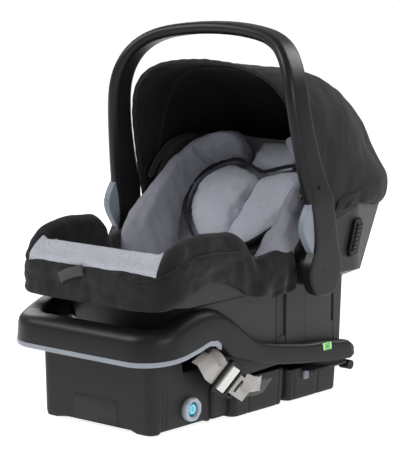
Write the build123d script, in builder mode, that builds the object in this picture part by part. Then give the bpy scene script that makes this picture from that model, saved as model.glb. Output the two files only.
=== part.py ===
from build123d import *
import math
import os

os.makedirs("parts", exist_ok=True)

# Infant car seat on its vehicle base. +Z is up, -Y is the foot end, +Y the head end.
# The origin is on the floor, under the middle of the base.

# Base
rim_half_width = 165
rim_front = -238
rim_rear = 264
rim_band = 45
rim_corner = 62
box_half_width = 121
box_front = -195
box_rear = -42
box_top = 124
block_half_width = 137
block_front = -20
block_rear = 112
block_top = 62
tail_front = 122
tail_rear = 256
tail_top = 54
tub_wall = 4
skirt_half_width = 138
skirt_gap = 4

# Recline foot and its button
knob_centre = (-107, 30)
knob_radius = 19
recline_button_radius = 9.5
foot_half_width = 62
foot_front = -165
foot_rear = -70

# Carrier
bucket_half_width = 170
foot_end_half_width = 149
bucket_wall = 5
recline = 44
seat_origin = (0, 129, 264)
cover_half_width = 160
cover_front = -212

# Handle and canopy pivots, as (y, z)
handle_pivot = (109, 231)
handle_half_width = 222
hub_radius = 41.5
hub_thickness = 21
canopy_pivot = (125, 265)
canopy_front_angle = 101.7
canopy_split_angle = 69.5
canopy_mid_angle = 78
canopy_rear_angle = 36
canopy_radius = 300
canopy_half_width = 179
canopy_wall = 3.5

fit = 0.4
big = 400

side_plane = Plane(origin=(0, 0, 0), x_dir=(0, 1, 0), z_dir=(1, 0, 0))
tilt = math.radians(recline)
seat_normal = (0, -math.sin(tilt), math.cos(tilt))
seat_plane = Plane(origin=seat_origin, x_dir=(1, 0, 0), z_dir=seat_normal)
canopy_axis = Axis((0, *canopy_pivot), (1, 0, 0))
sides = (("left", -1), ("right", 1))


def finish(piece, name):
    """Label a finished piece and write its file."""
    piece.part.label = name
    export_step(piece.part, f"parts/{name}.step")


def side_at(x):
    """The side-view plane at a distance across the seat: its axes are Y and Z."""
    return side_plane.offset(x)


# ---------------------------------------------------------------- base

rim_bottom = [
    (rim_front - 5, 124), (-205, 127), (-165, 131), (-135, 137), (-110, 144), (-92, 142), (-75, 128),
    (-58, 110), (11, 90), (70, 77), (141, 67), (195, 61), (rim_rear + 5, 55),
]
rim_top = [
    (28, 119), (3, 130), (-20, 147), (-45, 167), (-76, 186), (-100, 193), (-130, 191), (-158, 184),
    (-185, 174), (-205, 170), (rim_front - 5, 168),
]

with BuildPart() as rim_envelope:
    with BuildSketch(side_plane):
        with BuildLine():
            Spline(*rim_bottom[:8])
            Polyline(*rim_bottom[7:])
            Polyline(rim_bottom[-1], (rim_rear + 5, 85), (195, 95), (141, 99), (67, 111), rim_top[0])
            Spline(*rim_top)
            Line(rim_top[-1], rim_bottom[0])
        make_face()
    extrude(amount=big, both=True)

# The top rim is one moulding: a hoop round the foot end, a hump each side, and two low side rails.
with BuildPart() as base_rim:
    with BuildSketch(Plane.XY.offset(30)):
        with Locations((0, (rim_front + rim_rear + rim_corner) / 2)):
            RectangleRounded(2 * rim_half_width, rim_rear + rim_corner - rim_front, rim_corner)
        with Locations((0, rim_rear + 50)):
            Rectangle(2 * big, 100, mode=Mode.SUBTRACT)
        with Locations((0, (rim_front + rim_band - 60) / 2)):
            RectangleRounded(2 * (rim_half_width - rim_band), -60 - rim_front - rim_band, 30,
                             mode=Mode.SUBTRACT)
        with Locations((0, (-128 + rim_rear + 10) / 2)):
            Rectangle(2 * (skirt_half_width + skirt_gap), 10 + rim_rear + 128, mode=Mode.SUBTRACT)
    extrude(amount=180)
    add(rim_envelope.part, mode=Mode.INTERSECT)
    with BuildSketch(side_at(rim_half_width - 6)):
        with Locations((191, 90)):
            Rectangle(24, 14)
    extrude(amount=10, mode=Mode.SUBTRACT)
finish(base_rim, "base_rim")

# The pale strip under the hoop follows its lower edge.
with BuildPart() as rim_trim:
    with BuildSketch(Plane.XY.offset(100)):
        with Locations((0, (rim_front + rim_rear) / 2)):
            RectangleRounded(2 * (rim_half_width - 1), rim_rear - rim_front - 2, rim_corner - 1)
        with Locations((0, (rim_front + rim_rear) / 2)):
            RectangleRounded(2 * (rim_half_width - 7), rim_rear - rim_front - 14, rim_corner - 7,
                             mode=Mode.SUBTRACT)
        with Locations((0, 200)):
            Rectangle(2 * big, 2 * (200 + 84), mode=Mode.SUBTRACT)
    extrude(amount=60)
    with BuildSketch(side_plane):
        with BuildLine():
            Spline(*[(y, z - fit) for y, z in rim_bottom[:7]])
            Line((rim_bottom[6][0], rim_bottom[6][1] - fit), (rim_bottom[6][0], rim_bottom[6][1] - 7))
            Spline(*[(y, z - 7) for y, z in reversed(rim_bottom[:7])])
            Line((rim_bottom[0][0], rim_bottom[0][1] - 7), (rim_bottom[0][0], rim_bottom[0][1] - fit))
        make_face()
    extrude(amount=big, both=True, mode=Mode.INTERSECT)
    add(rim_envelope.part, mode=Mode.SUBTRACT)
finish(rim_trim, "rim_trim")

grip_places = [(x, y) for x in (-105, 105) for y in (-182, 96, 238)]

# The lower tub is one shell, open at the top: a front box, a middle block and a tail,
# joined by a narrower floor between them.
with BuildPart() as base_tub:
    with BuildSketch(Plane.XY):
        with Locations((0, (box_front + box_rear) / 2)):
            RectangleRounded(2 * box_half_width, box_rear - box_front, 18)
    extrude(amount=box_top - fit)
    with BuildSketch(Plane.XY):
        with Locations((0, (block_front + block_rear) / 2)):
            RectangleRounded(2 * block_half_width, block_rear - block_front, 12)
    extrude(amount=block_top)
    with BuildSketch(Plane.XY):
        with Locations((0, (tail_front + tail_rear) / 2)):
            RectangleRounded(2 * block_half_width, tail_rear - tail_front, 12)
    extrude(amount=tail_top)
    with BuildSketch(Plane.XY.offset(8)):
        with Locations((0, (box_rear + tail_front) / 2)):
            Rectangle(2 * (block_half_width - 8), tail_front - box_rear + 30)
    extrude(amount=tail_top - 8)
    # the three hollows, and the way through between them
    with BuildSketch(Plane.XY.offset(tub_wall)):
        with Locations((0, (box_front + box_rear) / 2)):
            RectangleRounded(2 * (box_half_width - tub_wall), box_rear - box_front - 2 * tub_wall, 14)
    extrude(amount=box_top, mode=Mode.SUBTRACT)
    with BuildSketch(Plane.XY.offset(tub_wall)):
        with Locations((0, (block_front + block_rear) / 2)):
            RectangleRounded(2 * (block_half_width - tub_wall), block_rear - block_front - 2 * tub_wall, 8)
        with Locations((0, (tail_front + tail_rear) / 2)):
            RectangleRounded(2 * (block_half_width - tub_wall), tail_rear - tail_front - 2 * tub_wall, 8)
    extrude(amount=box_top, mode=Mode.SUBTRACT)
    with BuildSketch(Plane.XY.offset(8 + tub_wall)):
        with Locations((0, (box_rear + tail_front) / 2)):
            Rectangle(2 * (block_half_width - 8 - tub_wall), tail_front - box_rear + 40)
    extrude(amount=box_top, mode=Mode.SUBTRACT)
    # the way the belt takes through the side walls behind the front box
    with BuildSketch(side_plane):
        with Locations((-88, 111)):
            Rectangle(80, 42)
    extrude(amount=big, both=True, mode=Mode.SUBTRACT)
    # room for the front of the carrier's skirt
    with BuildSketch(side_plane):
        Polygon((-38, 60), (-68, 60), (-99, 130), (-38, 130), align=None)
    extrude(amount=big, both=True, mode=Mode.SUBTRACT)
    # shallow seats for the grip pads
    with BuildSketch(Plane.XY):
        with Locations(*grip_places):
            Circle(7 + fit)
    extrude(amount=1 + fit / 2, mode=Mode.SUBTRACT)
    # ledges that carry the side rails
    with BuildSketch(Plane.XY.offset(tail_top - 3)):
        for sign in (-1, 1):
            with Locations((sign * (skirt_half_width + 13), 200)):
                Rectangle(30, 90)
    extrude(amount=3)
    # the opening in the floor for the recline foot
    with BuildSketch(Plane.XY):
        with Locations((0, (foot_front + foot_rear) / 2)):
            Rectangle(2 * foot_half_width + 2, foot_rear - foot_front + 2)
    extrude(amount=tub_wall, mode=Mode.SUBTRACT)
    # holes for the recline button and the side button
    with BuildSketch(side_at(box_half_width - 8)):
        with Locations(knob_centre):
            Circle(recline_button_radius + fit)
    extrude(amount=10, mode=Mode.SUBTRACT)
    with BuildSketch(side_at(block_half_width - 8)):
        with Locations((165, 40)):
            Rectangle(13, 15)
    extrude(amount=10, mode=Mode.SUBTRACT)
finish(base_tub, "base_tub")

with BuildPart() as recline_collar:
    with BuildSketch(side_at(box_half_width)):
        with Locations(knob_centre):
            Circle(knob_radius)
            Circle(recline_button_radius + 2, mode=Mode.SUBTRACT)
    extrude(amount=8)
    chamfer(recline_collar.edges().filter_by(GeomType.CIRCLE).group_by(Axis.X)[-1], 1.2)
finish(recline_collar, "recline_collar")

with BuildPart() as recline_button:
    with BuildSketch(side_at(box_half_width - 12)):
        with Locations(knob_centre):
            Circle(recline_button_radius)
    extrude(amount=17)
    with BuildSketch(side_at(box_half_width - 12)):
        with Locations(knob_centre):
            Circle(recline_button_radius + 3)
    extrude(amount=4)
    fillet(recline_button.edges().filter_by(GeomType.CIRCLE).group_by(Axis.X)[-1], 1.5)
finish(recline_button, "recline_button")

with BuildPart() as recline_spring:
    with BuildSketch(side_at(box_half_width - 28)):
        with Locations(knob_centre):
            Circle(6)
            Circle(4.5, mode=Mode.SUBTRACT)
    extrude(amount=16 - fit)
finish(recline_spring, "recline_spring")

# The foot drops through the floor of the front box to lean the seat back.
with BuildPart() as recline_foot:
    with BuildSketch(Plane.XY.offset(1.5)):
        with Locations((0, (foot_front + foot_rear) / 2)):
            RectangleRounded(2 * foot_half_width, foot_rear - foot_front, 6)
    extrude(amount=8)
    with BuildSketch(Plane.XY.offset(9.5)):
        with Locations(*[(x, (foot_front + foot_rear) / 2 + y) for x in (-50, 50) for y in (-36, 36)]):
            RectangleRounded(18, 14, 3)
    extrude(amount=54)
finish(recline_foot, "recline_foot")

with BuildPart() as side_button:
    with BuildSketch(side_at(block_half_width - 12)):
        with Locations((165, 40)):
            RectangleRounded(12, 14, 1.5)
    extrude(amount=15)
    with BuildSketch(side_at(block_half_width - 12)):
        with Locations((165, 40)):
            RectangleRounded(18, 20, 2)
    extrude(amount=4)
finish(side_button, "side_button")

with BuildPart() as level_window:
    with BuildSketch(side_at(rim_half_width - 6 + fit)):
        with Locations((191, 90)):
            Rectangle(24 - 2 * fit, 14 - 2 * fit)
    extrude(amount=6 - fit)
    add(rim_envelope.part, mode=Mode.INTERSECT)
finish(level_window, "level_window")

with BuildPart() as base_feet:
    with BuildSketch(Plane.XY):
        with Locations(*grip_places):
            Circle(7)
    extrude(amount=1)
finish(base_feet, "base_feet")

with BuildPart() as rail_bumpers:
    with BuildSketch(side_at(144)):
        with Locations((rim_rear - 9, 45)):
            Circle(8)
    extrude(amount=20)
    mirror(about=Plane.YZ)
finish(rail_bumpers, "rail_bumpers")

# Two steel bars across the tub are what the carrier's hooks catch.
with BuildPart() as catch_bars:
    with BuildSketch(side_plane):
        with Locations((20, 52), (215, 46)):
            Circle(5)
    extrude(amount=block_half_width - tub_wall - 8.2, both=True)
finish(catch_bars, "catch_bars")

with BuildPart() as base_screws:
    with BuildSketch(Plane.XY.offset(tub_wall + 0.2)):
        for x in (-95, 95):
            with Locations((x, 12), (x, 80), (x, 150), (x, 225)):
                Circle(4)
    extrude(amount=5)
finish(base_screws, "base_screws")

# ---------------------------------------------------------------- lower anchor strap

# The strap hangs out of the gap behind the front box, and runs rearwards and down to a tilt-lock
# adjuster. Its length is strap_run, its width strap_across, and its face looks outwards.
strap_run = Vector(0.179, 0.797, -0.576).normalized()
strap_face = Vector(0.899, -0.370, -0.233).normalized()
strap_across = strap_face.cross(strap_run)
strap_width = 44
strap_origin = (156, -66, 80)
strap_plane = Plane(origin=strap_origin, x_dir=strap_run, z_dir=strap_face)
strap_edge = Plane(origin=strap_origin, x_dir=strap_run, z_dir=strap_across)


def strap(points, width):
    """A flat strap: an edge-on outline of (along, inwards) points, drawn out to its width."""
    with BuildPart() as webbing:
        with BuildSketch(strap_edge):
            with BuildLine():
                Polyline(*points, close=True)
            make_face()
        extrude(amount=width / 2, both=True)
    return webbing


webbing_line = [(-11.4, -2), (-48, -2), (-63, 30), (-64.6, 29.4), (-49, -4), (-11.4, -4)]
latch_webbing = strap(webbing_line, strap_width)
finish(latch_webbing, "latch_webbing")

with BuildPart() as latch_frame:
    with BuildSketch(strap_plane.offset(-1.5)):
        with Locations((4, 0)):
            RectangleRounded(30, 58, 4)
            RectangleRounded(22, 48, 2, mode=Mode.SUBTRACT)
    extrude(amount=9)
    with BuildSketch(strap_plane.offset(-1.5)):
        with Locations((27, 0)):
            RectangleRounded(16.1, 50, 4)
            RectangleRounded(7, 42, 2, mode=Mode.SUBTRACT)
    extrude(amount=3.5)
finish(latch_frame, "latch_frame")

with BuildPart() as latch_bar:
    with BuildSketch(strap_plane.offset(0)):
        with Locations((4, 0)):
            RectangleRounded(16, 46, 2.5)
    extrude(amount=9)
    with BuildSketch(strap_plane.offset(9)):
        with GridLocations(3.2, 1, 4, 1):
            with Locations((4, 0)):
                Rectangle(1.2, 40)
    extrude(amount=0.8)
finish(latch_bar, "latch_bar")

latch_tail = strap([(19.6, -5), (60, -3), (60, -4.6), (19.6, -6.8)], strap_width - 6)
finish(latch_tail, "latch_tail")

latch_rear_strap = strap([(36.5, -0.4), (52, 6), (70, 24), (71, 22.5), (53, 3), (36.5, -2)], 32)
finish(latch_rear_strap, "latch_rear_strap")

# ---------------------------------------------------------------- carrier shell

# Side outlines, as (y, z). The bucket's rim runs level round the foot wings, dips beside the
# hubs, climbs beside the shoulders and stays level round the head.
bucket_rim = [
    (-199, 254), (-172, 279), (-150, 290), (-44, 290), (-14, 268), (12, 262), (88, 336), (150, 398),
    (176, 412), (345, 416),
]
bucket_under = [
    (426, 348), (398, 320), (300, 228), (262, 192), (256, 76), (-60, 64), (-116, 196), (-199, 206),
]
pocket_floor = [(400, 487), (90, 188), (40, 176), (-60, 196), (-172, 244), (-188, 262)]


plan_corners = [
    (foot_end_half_width - 4, -199), (foot_end_half_width + 8, -60), (bucket_half_width, 60),
    (bucket_half_width, 262), (112, 426),
]


def bucket_plan(grow):
    """The bucket from above, grown all round by an amount."""
    with BuildSketch(Plane.XY) as plan:
        Polygon(*plan_corners, *[(-x, y) for x, y in reversed(plan_corners)], align=None)
        if grow:
            offset(amount=grow, kind=Kind.INTERSECTION)
        fillet(plan.vertices().group_by(Axis.Y)[0], 34)
        fillet(plan.vertices().sort_by(Axis.Y)[-4:], 60)
    return plan.sketch


def bucket_solid(outline, grow):
    """A side outline, cut to the bucket's plan and to its end view, all grown by an amount."""
    flare = skirt_half_width + grow
    with BuildPart() as solid:
        with BuildSketch(side_plane):
            with BuildLine():
                Polyline(*outline, close=True)
            make_face()
            if grow:
                offset(amount=grow, kind=Kind.INTERSECTION)
        extrude(amount=big, both=True)
        with BuildSketch(Plane.XY):
            add(bucket_plan(grow))
        extrude(amount=2 * big, mode=Mode.INTERSECT)
        with BuildSketch(Plane.XZ):
            with BuildLine():
                Polyline(
                    (flare, 0), (flare, 194 - grow), (flare + 44, 214 - grow), (flare + 36, 290),
                    (flare + 12, 420), (flare + 12, 2 * big), (-flare - 12, 2 * big), (-flare - 12, 420), (-flare - 36, 290),
                    (-flare - 44, 214 - grow), (-flare, 194 - grow), (-flare, 0), close=True,
                )
            make_face()
        extrude(amount=2 * big, both=True, mode=Mode.INTERSECT)
    return solid.part


open_outline = [(-199, 560), (173.5, 560)] + bucket_under
bucket_block = bucket_solid(bucket_rim + bucket_under, 0)

with BuildPart() as carrier_shell:
    add(bucket_block)
    add(bucket_solid(open_outline, -bucket_wall), mode=Mode.SUBTRACT)
    # upright recesses down each side of the skirt
    with BuildSketch(side_at(skirt_half_width - 2.5)):
        with Locations((101, 150)):
            Rectangle(28, 70)
        with Locations((236, 150)):
            Rectangle(8, 60)
    extrude(amount=8, mode=Mode.SUBTRACT)
    with BuildSketch(side_at(2.5 - skirt_half_width)):
        with Locations((101, 150)):
            Rectangle(28, 70)
        with Locations((236, 150)):
            Rectangle(8, 60)
    extrude(amount=-8, mode=Mode.SUBTRACT)
    # holes for the pivot bolts
    with BuildSketch(side_plane):
        with Locations(handle_pivot):
            Circle(6)
    extrude(amount=big, both=True, mode=Mode.SUBTRACT)
finish(carrier_shell, "carrier_shell")

# Round bosses that carry the handle stand off the shell at each side.
with BuildPart() as handle_bosses:
    with BuildSketch(side_at(bucket_half_width + fit)):
        with Locations(handle_pivot):
            Circle(27)
            Circle(6, mode=Mode.SUBTRACT)
    extrude(amount=handle_half_width - hub_thickness - bucket_half_width - 2 * fit)
    mirror(about=Plane.YZ)
finish(handle_bosses, "handle_bosses")

with BuildPart() as belt_guides:
    with BuildSketch(side_at(bucket_half_width + fit)):
        with BuildLine():
            Polyline((233, 232), (252, 236), (268, 284), (262, 296), (246, 292), (230, 244), close=True)
        make_face()
    extrude(amount=7)
    mirror(about=Plane.YZ)
finish(belt_guides, "belt_guides")

# The lever at the back that frees the carrier from its base.
with BuildPart() as release_lever:
    with BuildSketch(side_plane):
        with BuildLine():
            Polyline((262.5, 172), (269, 172), (274, 120), (270, 116), (262.5, 122), close=True)
        make_face()
    extrude(amount=46, both=True)
finish(release_lever, "release_lever")

# Foam fills the bucket between the shell and the seat pad.
with BuildPart() as seat_foam:
    add(bucket_solid(open_outline, -bucket_wall - fit))
    with BuildSketch(side_plane):
        with BuildLine():
            Polyline(*pocket_floor, *[(y + 8, z - 26) for y, z in reversed(pocket_floor)], close=True)
        make_face()
    extrude(amount=big, both=True, mode=Mode.INTERSECT)
    with BuildSketch(Plane.YZ.offset(0)):
        with Locations((380, 500)):
            Rectangle(200, 176)
    extrude(amount=big, both=True, mode=Mode.SUBTRACT)
finish(seat_foam, "seat_foam")

# ---------------------------------------------------------------- soft goods

pad_gap = 0.6
pad_thickness = 12
liner_half_width = 102

with BuildPart() as seat_liner:
    with BuildSketch(side_plane):
        with BuildLine():
            Polyline(
                *[(y, z + pad_gap) for y, z in pocket_floor[1:5]],
                (-164, 246 + pad_thickness), (-60, 196 + pad_thickness), (36, 176 + pad_thickness),
                (74, 189), (82, 196.4), (310, 416.6), (318, 408 + pad_gap), close=True,
            )
        make_face()
    extrude(amount=liner_half_width, both=True)
finish(seat_liner, "seat_liner")

cover_outline = [
    (cover_front + 3, 203), (cover_front, 230), (cover_front + 1, 254), (cover_front + 14, 259), (-172, 279.5),
    (-150, 303), (-120, 309), (-60, 306), (-38, 302), (-18, 284), (8, 270), (40, 300), (66, 316), (80, 300),
    (88, 240), (150, 236), (150, 215), (118, 197), (0, 197), (-60, 228), (-128, 232), (-160, 210),
]
with BuildPart() as seat_cover:
    with BuildSketch(Plane.XY):
        with BuildLine() as half:
            Line((0, cover_front), (118, cover_front))
            Spline(
                (118, cover_front), (cover_half_width - 2, -176), (cover_half_width + 10, -20), (178, 90),
                tangents=[(1, 0), (0, 1)],
            )
            Line((178, 90), (178, 200))
            Line((178, 200), (0, 200))
            mirror(about=Plane.YZ)
        make_face()
    extrude(amount=2 * big)
    with BuildSketch(side_plane):
        with BuildLine():
            Polyline(*cover_outline, close=True)
        make_face()
    extrude(amount=big, both=True, mode=Mode.INTERSECT)
    # room for the shell's wall, the pocket and the hubs
    add(bucket_solid(bucket_rim + bucket_under, fit), mode=Mode.SUBTRACT)
    with BuildSketch(Plane.XY.offset(150)):
        with Locations((0, -168 + 200)):
            RectangleRounded(2 * (liner_half_width + 1), 400, 20)
        with Locations((0, 120)):
            Rectangle(2 * (bucket_half_width + 0.5), 250)
    extrude(amount=big, mode=Mode.SUBTRACT)
    with BuildSketch(side_plane):
        with Locations(handle_pivot):
            Circle(29)
    extrude(amount=big, both=True, mode=Mode.SUBTRACT)
finish(seat_cover, "seat_cover")

# The pads that line the inner sides of the foot wings.
with BuildPart() as wing_pads:
    with BuildSketch(side_plane):
        with BuildLine():
            Polyline(
                (-160, 244), (-150, 289), (-44, 289), (-16, 268), (6, 256), (6, 190), (-60, 200), close=True,
            )
        make_face()
    extrude(amount=big, both=True)
    with BuildSketch(Plane.XY.offset(100)):
        for sign in (-1, 1):
            with Locations((sign * (liner_half_width + 16), -77)):
                RectangleRounded(27, 166, 10)
    extrude(amount=big, mode=Mode.INTERSECT)
finish(wing_pads, "wing_pads")

with BuildPart() as foot_panel:
    with BuildSketch(side_plane):
        with BuildLine():
            Polyline((-197.5, 267), (-176, 283.5), (-172.5, 281), (-198.5, 260.4), close=True)
        make_face()
    extrude(amount=108, both=True)
finish(foot_panel, "foot_panel")

# The padded sides stand up off the reclined back. They are drawn in its plane: across, then up.
bolster_height = 74
bolster_outline = [
    (107, -58), (116, 10), (123, 60), (121, 104), (106, 134), (78, 150), (48, 152), (48, 184), (92, 182),
    (126, 160), (140, 120), (143, 40), (142, -30), (138, -58),
]
for side, sign in sides:
    with BuildPart() as side_bolster:
        with BuildSketch(seat_plane.offset(-12)):
            with BuildLine():
                Polyline(*[(sign * x, up) for x, up in bolster_outline], close=True)
            make_face()
        extrude(amount=12 + bolster_height)
        with BuildSketch(side_plane):
            with BuildLine():
                Polyline(
                    (-20, 222), (-20, 252), (26, 266), (94, 328), (150, 384), (176, 400), (400, 400), (400, 100),
                    close=True,
                )
            make_face()
        extrude(amount=big, both=True, mode=Mode.INTERSECT)
    finish(side_bolster, f"side_bolster_{side}")

insert_outline = [
    (1, -8), (30, -22), (62, -26), (88, 0), (106, 44), (110, 84), (98, 118), (70, 138), (40, 138), (1, 122),
]
for side, sign in sides:
    with BuildPart() as body_insert:
        with BuildSketch(seat_plane.offset(-10)):
            with BuildLine():
                Polyline(*[(sign * x, up) for x, up in insert_outline], close=True)
            make_face()
        extrude(amount=10)
    finish(body_insert, f"body_insert_{side}")

with BuildPart() as head_panel:
    with BuildSketch(seat_plane.offset(-10)):
        with Locations((0, 171)):
            RectangleRounded(92, 54, 8)
    extrude(amount=10)
finish(head_panel, "head_panel")

# ---------------------------------------------------------------- harness

for side, sign in sides:
    with BuildPart() as shoulder_strap:
        with BuildSketch(seat_plane.offset(-14.5)):
            with Locations((sign * 42, 40)):
                Rectangle(38, 150)
        extrude(amount=1.6)
    finish(shoulder_strap, f"shoulder_strap_{side}")
    with BuildPart() as buckle_tongue:
        with BuildSketch(seat_plane.offset(-9)):
            with Locations((sign * 25, -54)):
                RectangleRounded(28, 20, 3)
                Rectangle(12, 5, mode=Mode.SUBTRACT)
        extrude(amount=3)
    finish(buckle_tongue, f"buckle_tongue_{side}")
    with BuildPart() as hip_strap:
        with BuildSketch(seat_plane.offset(-6)):
            with Locations((sign * 66, -52)):
                Rectangle(52, 25)
        extrude(amount=1.6)
    finish(hip_strap, f"hip_strap_{side}")

buckle_place = (0, -54)
with BuildPart() as buckle:
    with BuildSketch(seat_plane.offset(-12)):
        with Locations(buckle_place):
            RectangleRounded(46, 40, 6)
    extrude(amount=16)
    with BuildSketch(seat_plane.offset(-9 - fit)):
        with Locations(buckle_place):
            Rectangle(60, 21)
    extrude(amount=3 + 2 * fit, mode=Mode.SUBTRACT)
    with BuildSketch(seat_plane.offset(-2)):
        with Locations(buckle_place):
            Rectangle(24, 20)
    extrude(amount=20, mode=Mode.SUBTRACT)
finish(buckle, "buckle")

with BuildPart() as buckle_button:
    with BuildSketch(seat_plane.offset(2)):
        with Locations(buckle_place):
            RectangleRounded(23, 19, 2)
    extrude(amount=3.5)
finish(buckle_button, "buckle_button")

with BuildPart() as crotch_strap:
    with BuildSketch(side_plane):
        Polygon((81, 206), (82.8, 205), (77.6, 193.5), (75.8, 193.5), align=None)
    extrude(amount=19, both=True)
finish(crotch_strap, "crotch_strap")

with BuildPart() as adjuster_lever:
    with BuildSketch(side_plane):
        with BuildLine():
            Polyline((-128, 247), (-100, 235), (-98, 241), (-126, 254), close=True)
        make_face()
    extrude(amount=13, both=True)
finish(adjuster_lever, "adjuster_lever")

with BuildPart() as adjuster_strap:
    with BuildSketch(Plane.XZ.offset(-cover_front + 0.6)):
        with BuildLine():
            Polyline(
                (-62, 229), (-55, 246), (-28, 258), (8, 260), (8, 254), (-24, 240), (-30, 228), close=True,
            )
        make_face()
    extrude(amount=3)
finish(adjuster_strap, "adjuster_strap")

# ---------------------------------------------------------------- canopy

def canopy_plane(angle):
    """The plane through the canopy's pivots at an angle up from +Y: across, then outwards."""
    lean = math.radians(angle)
    return Plane(origin=(0, *canopy_pivot), x_dir=(1, 0, 0), z_dir=(0, -math.sin(lean), math.cos(lean)))


def arch(inset, wall, low):
    """The canopy's arch, seen along its hoops: a band of one thickness, open at the bottom."""
    with BuildSketch() as band:
        for depth, mode in ((inset, Mode.ADD), (inset + wall, Mode.SUBTRACT)):
            width = canopy_half_width - depth
            top = canopy_radius - depth
            with BuildLine():
                Line((0, low), (width, low))
                Line((width, low), (width, top * 0.5))
                Spline(
                    (width, top * 0.5), (width - 8, top * 0.735), (width - 34, top * 0.885),
                    (width - 82, top * 0.968), (0, top), tangents=[(0, 1), (-1, 0)],
                )
                mirror(about=Plane.YZ)
            make_face(mode=mode)
    return band.sketch


with BuildPart() as canopy_front_bow:
    with BuildSketch(canopy_plane(canopy_front_angle)):
        add(arch(-1, 6, 12))
    extrude(amount=-8)
finish(canopy_front_bow, "canopy_front_bow")

with BuildPart() as bow_room:
    with BuildSketch(canopy_plane(canopy_front_angle).offset(-8.5)):
        Rectangle(2 * big, 2 * big)
    extrude(amount=50)

with BuildPart() as canopy_front:
    with BuildSketch(canopy_plane(canopy_split_angle)):
        add(arch(0, canopy_wall, 60))
    revolve(axis=canopy_axis, revolution_arc=canopy_front_angle - canopy_split_angle)
    add(bow_room.part, mode=Mode.SUBTRACT)
finish(canopy_front, "canopy_front")

with BuildPart() as canopy_mid_bow:
    with BuildSketch(canopy_plane(canopy_mid_angle)):
        add(arch(9.8, 4, 100))
    extrude(amount=-6)
finish(canopy_mid_bow, "canopy_mid_bow")

with BuildPart() as canopy_rear:
    with BuildSketch(canopy_plane(canopy_rear_angle)):
        add(arch(canopy_wall + 1.5, canopy_wall, 60))
    revolve(axis=canopy_axis, revolution_arc=canopy_split_angle + 3 - canopy_rear_angle)
    add(bucket_solid(bucket_rim + bucket_under, 2 * fit), mode=Mode.SUBTRACT)
finish(canopy_rear, "canopy_rear")

with BuildPart() as canopy_skirt:
    add(bucket_solid(bucket_rim + bucket_under, 4.6))
    add(bucket_solid(bucket_rim + bucket_under, 1), mode=Mode.SUBTRACT)
    with BuildSketch(side_plane):
        with BuildLine():
            Polyline(
                (186, 307), (262, 321), (312, 308), (395, 296), (445, 345), (445, 366), (352, 428), close=True,
            )
        make_face()
    extrude(amount=big, both=True, mode=Mode.INTERSECT)
finish(canopy_skirt, "canopy_skirt")

with BuildPart() as canopy_mounts:
    with BuildSketch(side_at(bucket_half_width + fit)):
        with Locations(canopy_pivot):
            Circle(9)
    extrude(amount=9)
    mirror(about=Plane.YZ)
finish(canopy_mounts, "canopy_mounts")

# ---------------------------------------------------------------- handle

# Middle of the handle's section from the hub to the crown, on the +X side: (x, y, z), then its depth.
# The arms lean forwards and the crown sweeps back.
handle_path = [
    ((211.5, 109, 262), 66), ((211, 108, 285), 62), ((208.5, 103, 333), 60), ((203.5, 91, 380), 55),
    ((198.5, 80, 430), 49), ((191, 71, 494), 47), ((183, 73, 532), 46), ((165, 82, 566), 44),
    ((135, 96, 590), 42), ((95, 108, 602), 40), ((48, 115, 608), 39), ((0, 117, 609.5), 39),
]
handle_section = 21
button_across = 210
screw_places = ((121, 292), (97, 366))
both_arms = handle_path + [((-x, y, z), deep) for (x, y, z), deep in reversed(handle_path[:-1])]


def station(index):
    """The plane across the handle at a station: its X points outwards, its Y runs fore and aft."""
    here = Vector(*both_arms[index][0])
    before = Vector(*both_arms[max(index - 1, 0)][0])
    after = Vector(*both_arms[min(index + 1, len(both_arms) - 1)][0])
    along = (after - before).normalized()
    if index in (0, len(both_arms) - 1):
        along = Vector(0, 0, 1 if index == 0 else -1)
    outwards = Vector(0, 1, 0).cross(along)
    return Plane(origin=here, x_dir=outwards, z_dir=along)


with BuildPart() as handle:
    for index, (centre, deep) in enumerate(both_arms):
        with BuildSketch(station(index)):
            RectangleRounded(handle_section, deep, 6)
    loft()
    # hub discs at the foot of each arm
    with BuildSketch(side_at(handle_half_width - hub_thickness)):
        with Locations(handle_pivot):
            Circle(hub_radius)
    extrude(amount=hub_thickness)
    with BuildSketch(side_at(hub_thickness - handle_half_width)):
        with Locations(handle_pivot):
            Circle(hub_radius)
    extrude(amount=-hub_thickness)
    with BuildSketch(side_plane):
        with Locations(handle_pivot):
            Circle(6)
    extrude(amount=big, both=True, mode=Mode.SUBTRACT)
    # pockets in the front of the arms for the release buttons, and holes for the screws
    for side, sign in sides:
        with BuildSketch(side_at(sign * (button_across - 7))):
            Polygon((50, 252), (50, 343), (94, 343), (103, 252), align=None)
        extrude(amount=sign * 14, mode=Mode.SUBTRACT)
        with BuildSketch(side_at(sign * (handle_half_width - 7))):
            with Locations(*screw_places):
                Circle(2.2)
        extrude(amount=sign * 10, mode=Mode.SUBTRACT)
finish(handle, "handle")

for side, sign in sides:
    with BuildPart() as handle_button:
        with BuildSketch(side_at(sign * (button_across - 6.5))):
            Polygon((72, 340), (55, 306), (57, 292), (84, 257), (86, 268), (84, 269), (88, 269), (84, 330),
                    (72, 330), align=None)
        extrude(amount=sign * 13)
        chamfer(handle_button.edges().filter_by(Axis.X, reverse=True).group_by(Axis.Y)[0], 1)
    finish(handle_button, f"handle_button_{side}")
    with BuildPart() as handle_spring:
        with BuildSketch(Plane(origin=(sign * button_across, 88.4, 296), x_dir=(1, 0, 0), z_dir=(0, 1, 0))):
            Circle(4.5)
            Circle(3.3, mode=Mode.SUBTRACT)
        extrude(amount=9)
    finish(handle_spring, f"handle_spring_{side}")

with BuildPart() as handle_screws:
    for side, sign in sides:
        with BuildSketch(side_at(sign * (handle_half_width - 7))):
            with Locations(*screw_places):
                Circle(2.2)
        extrude(amount=sign * 5)
finish(handle_screws, "handle_screws")

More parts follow.
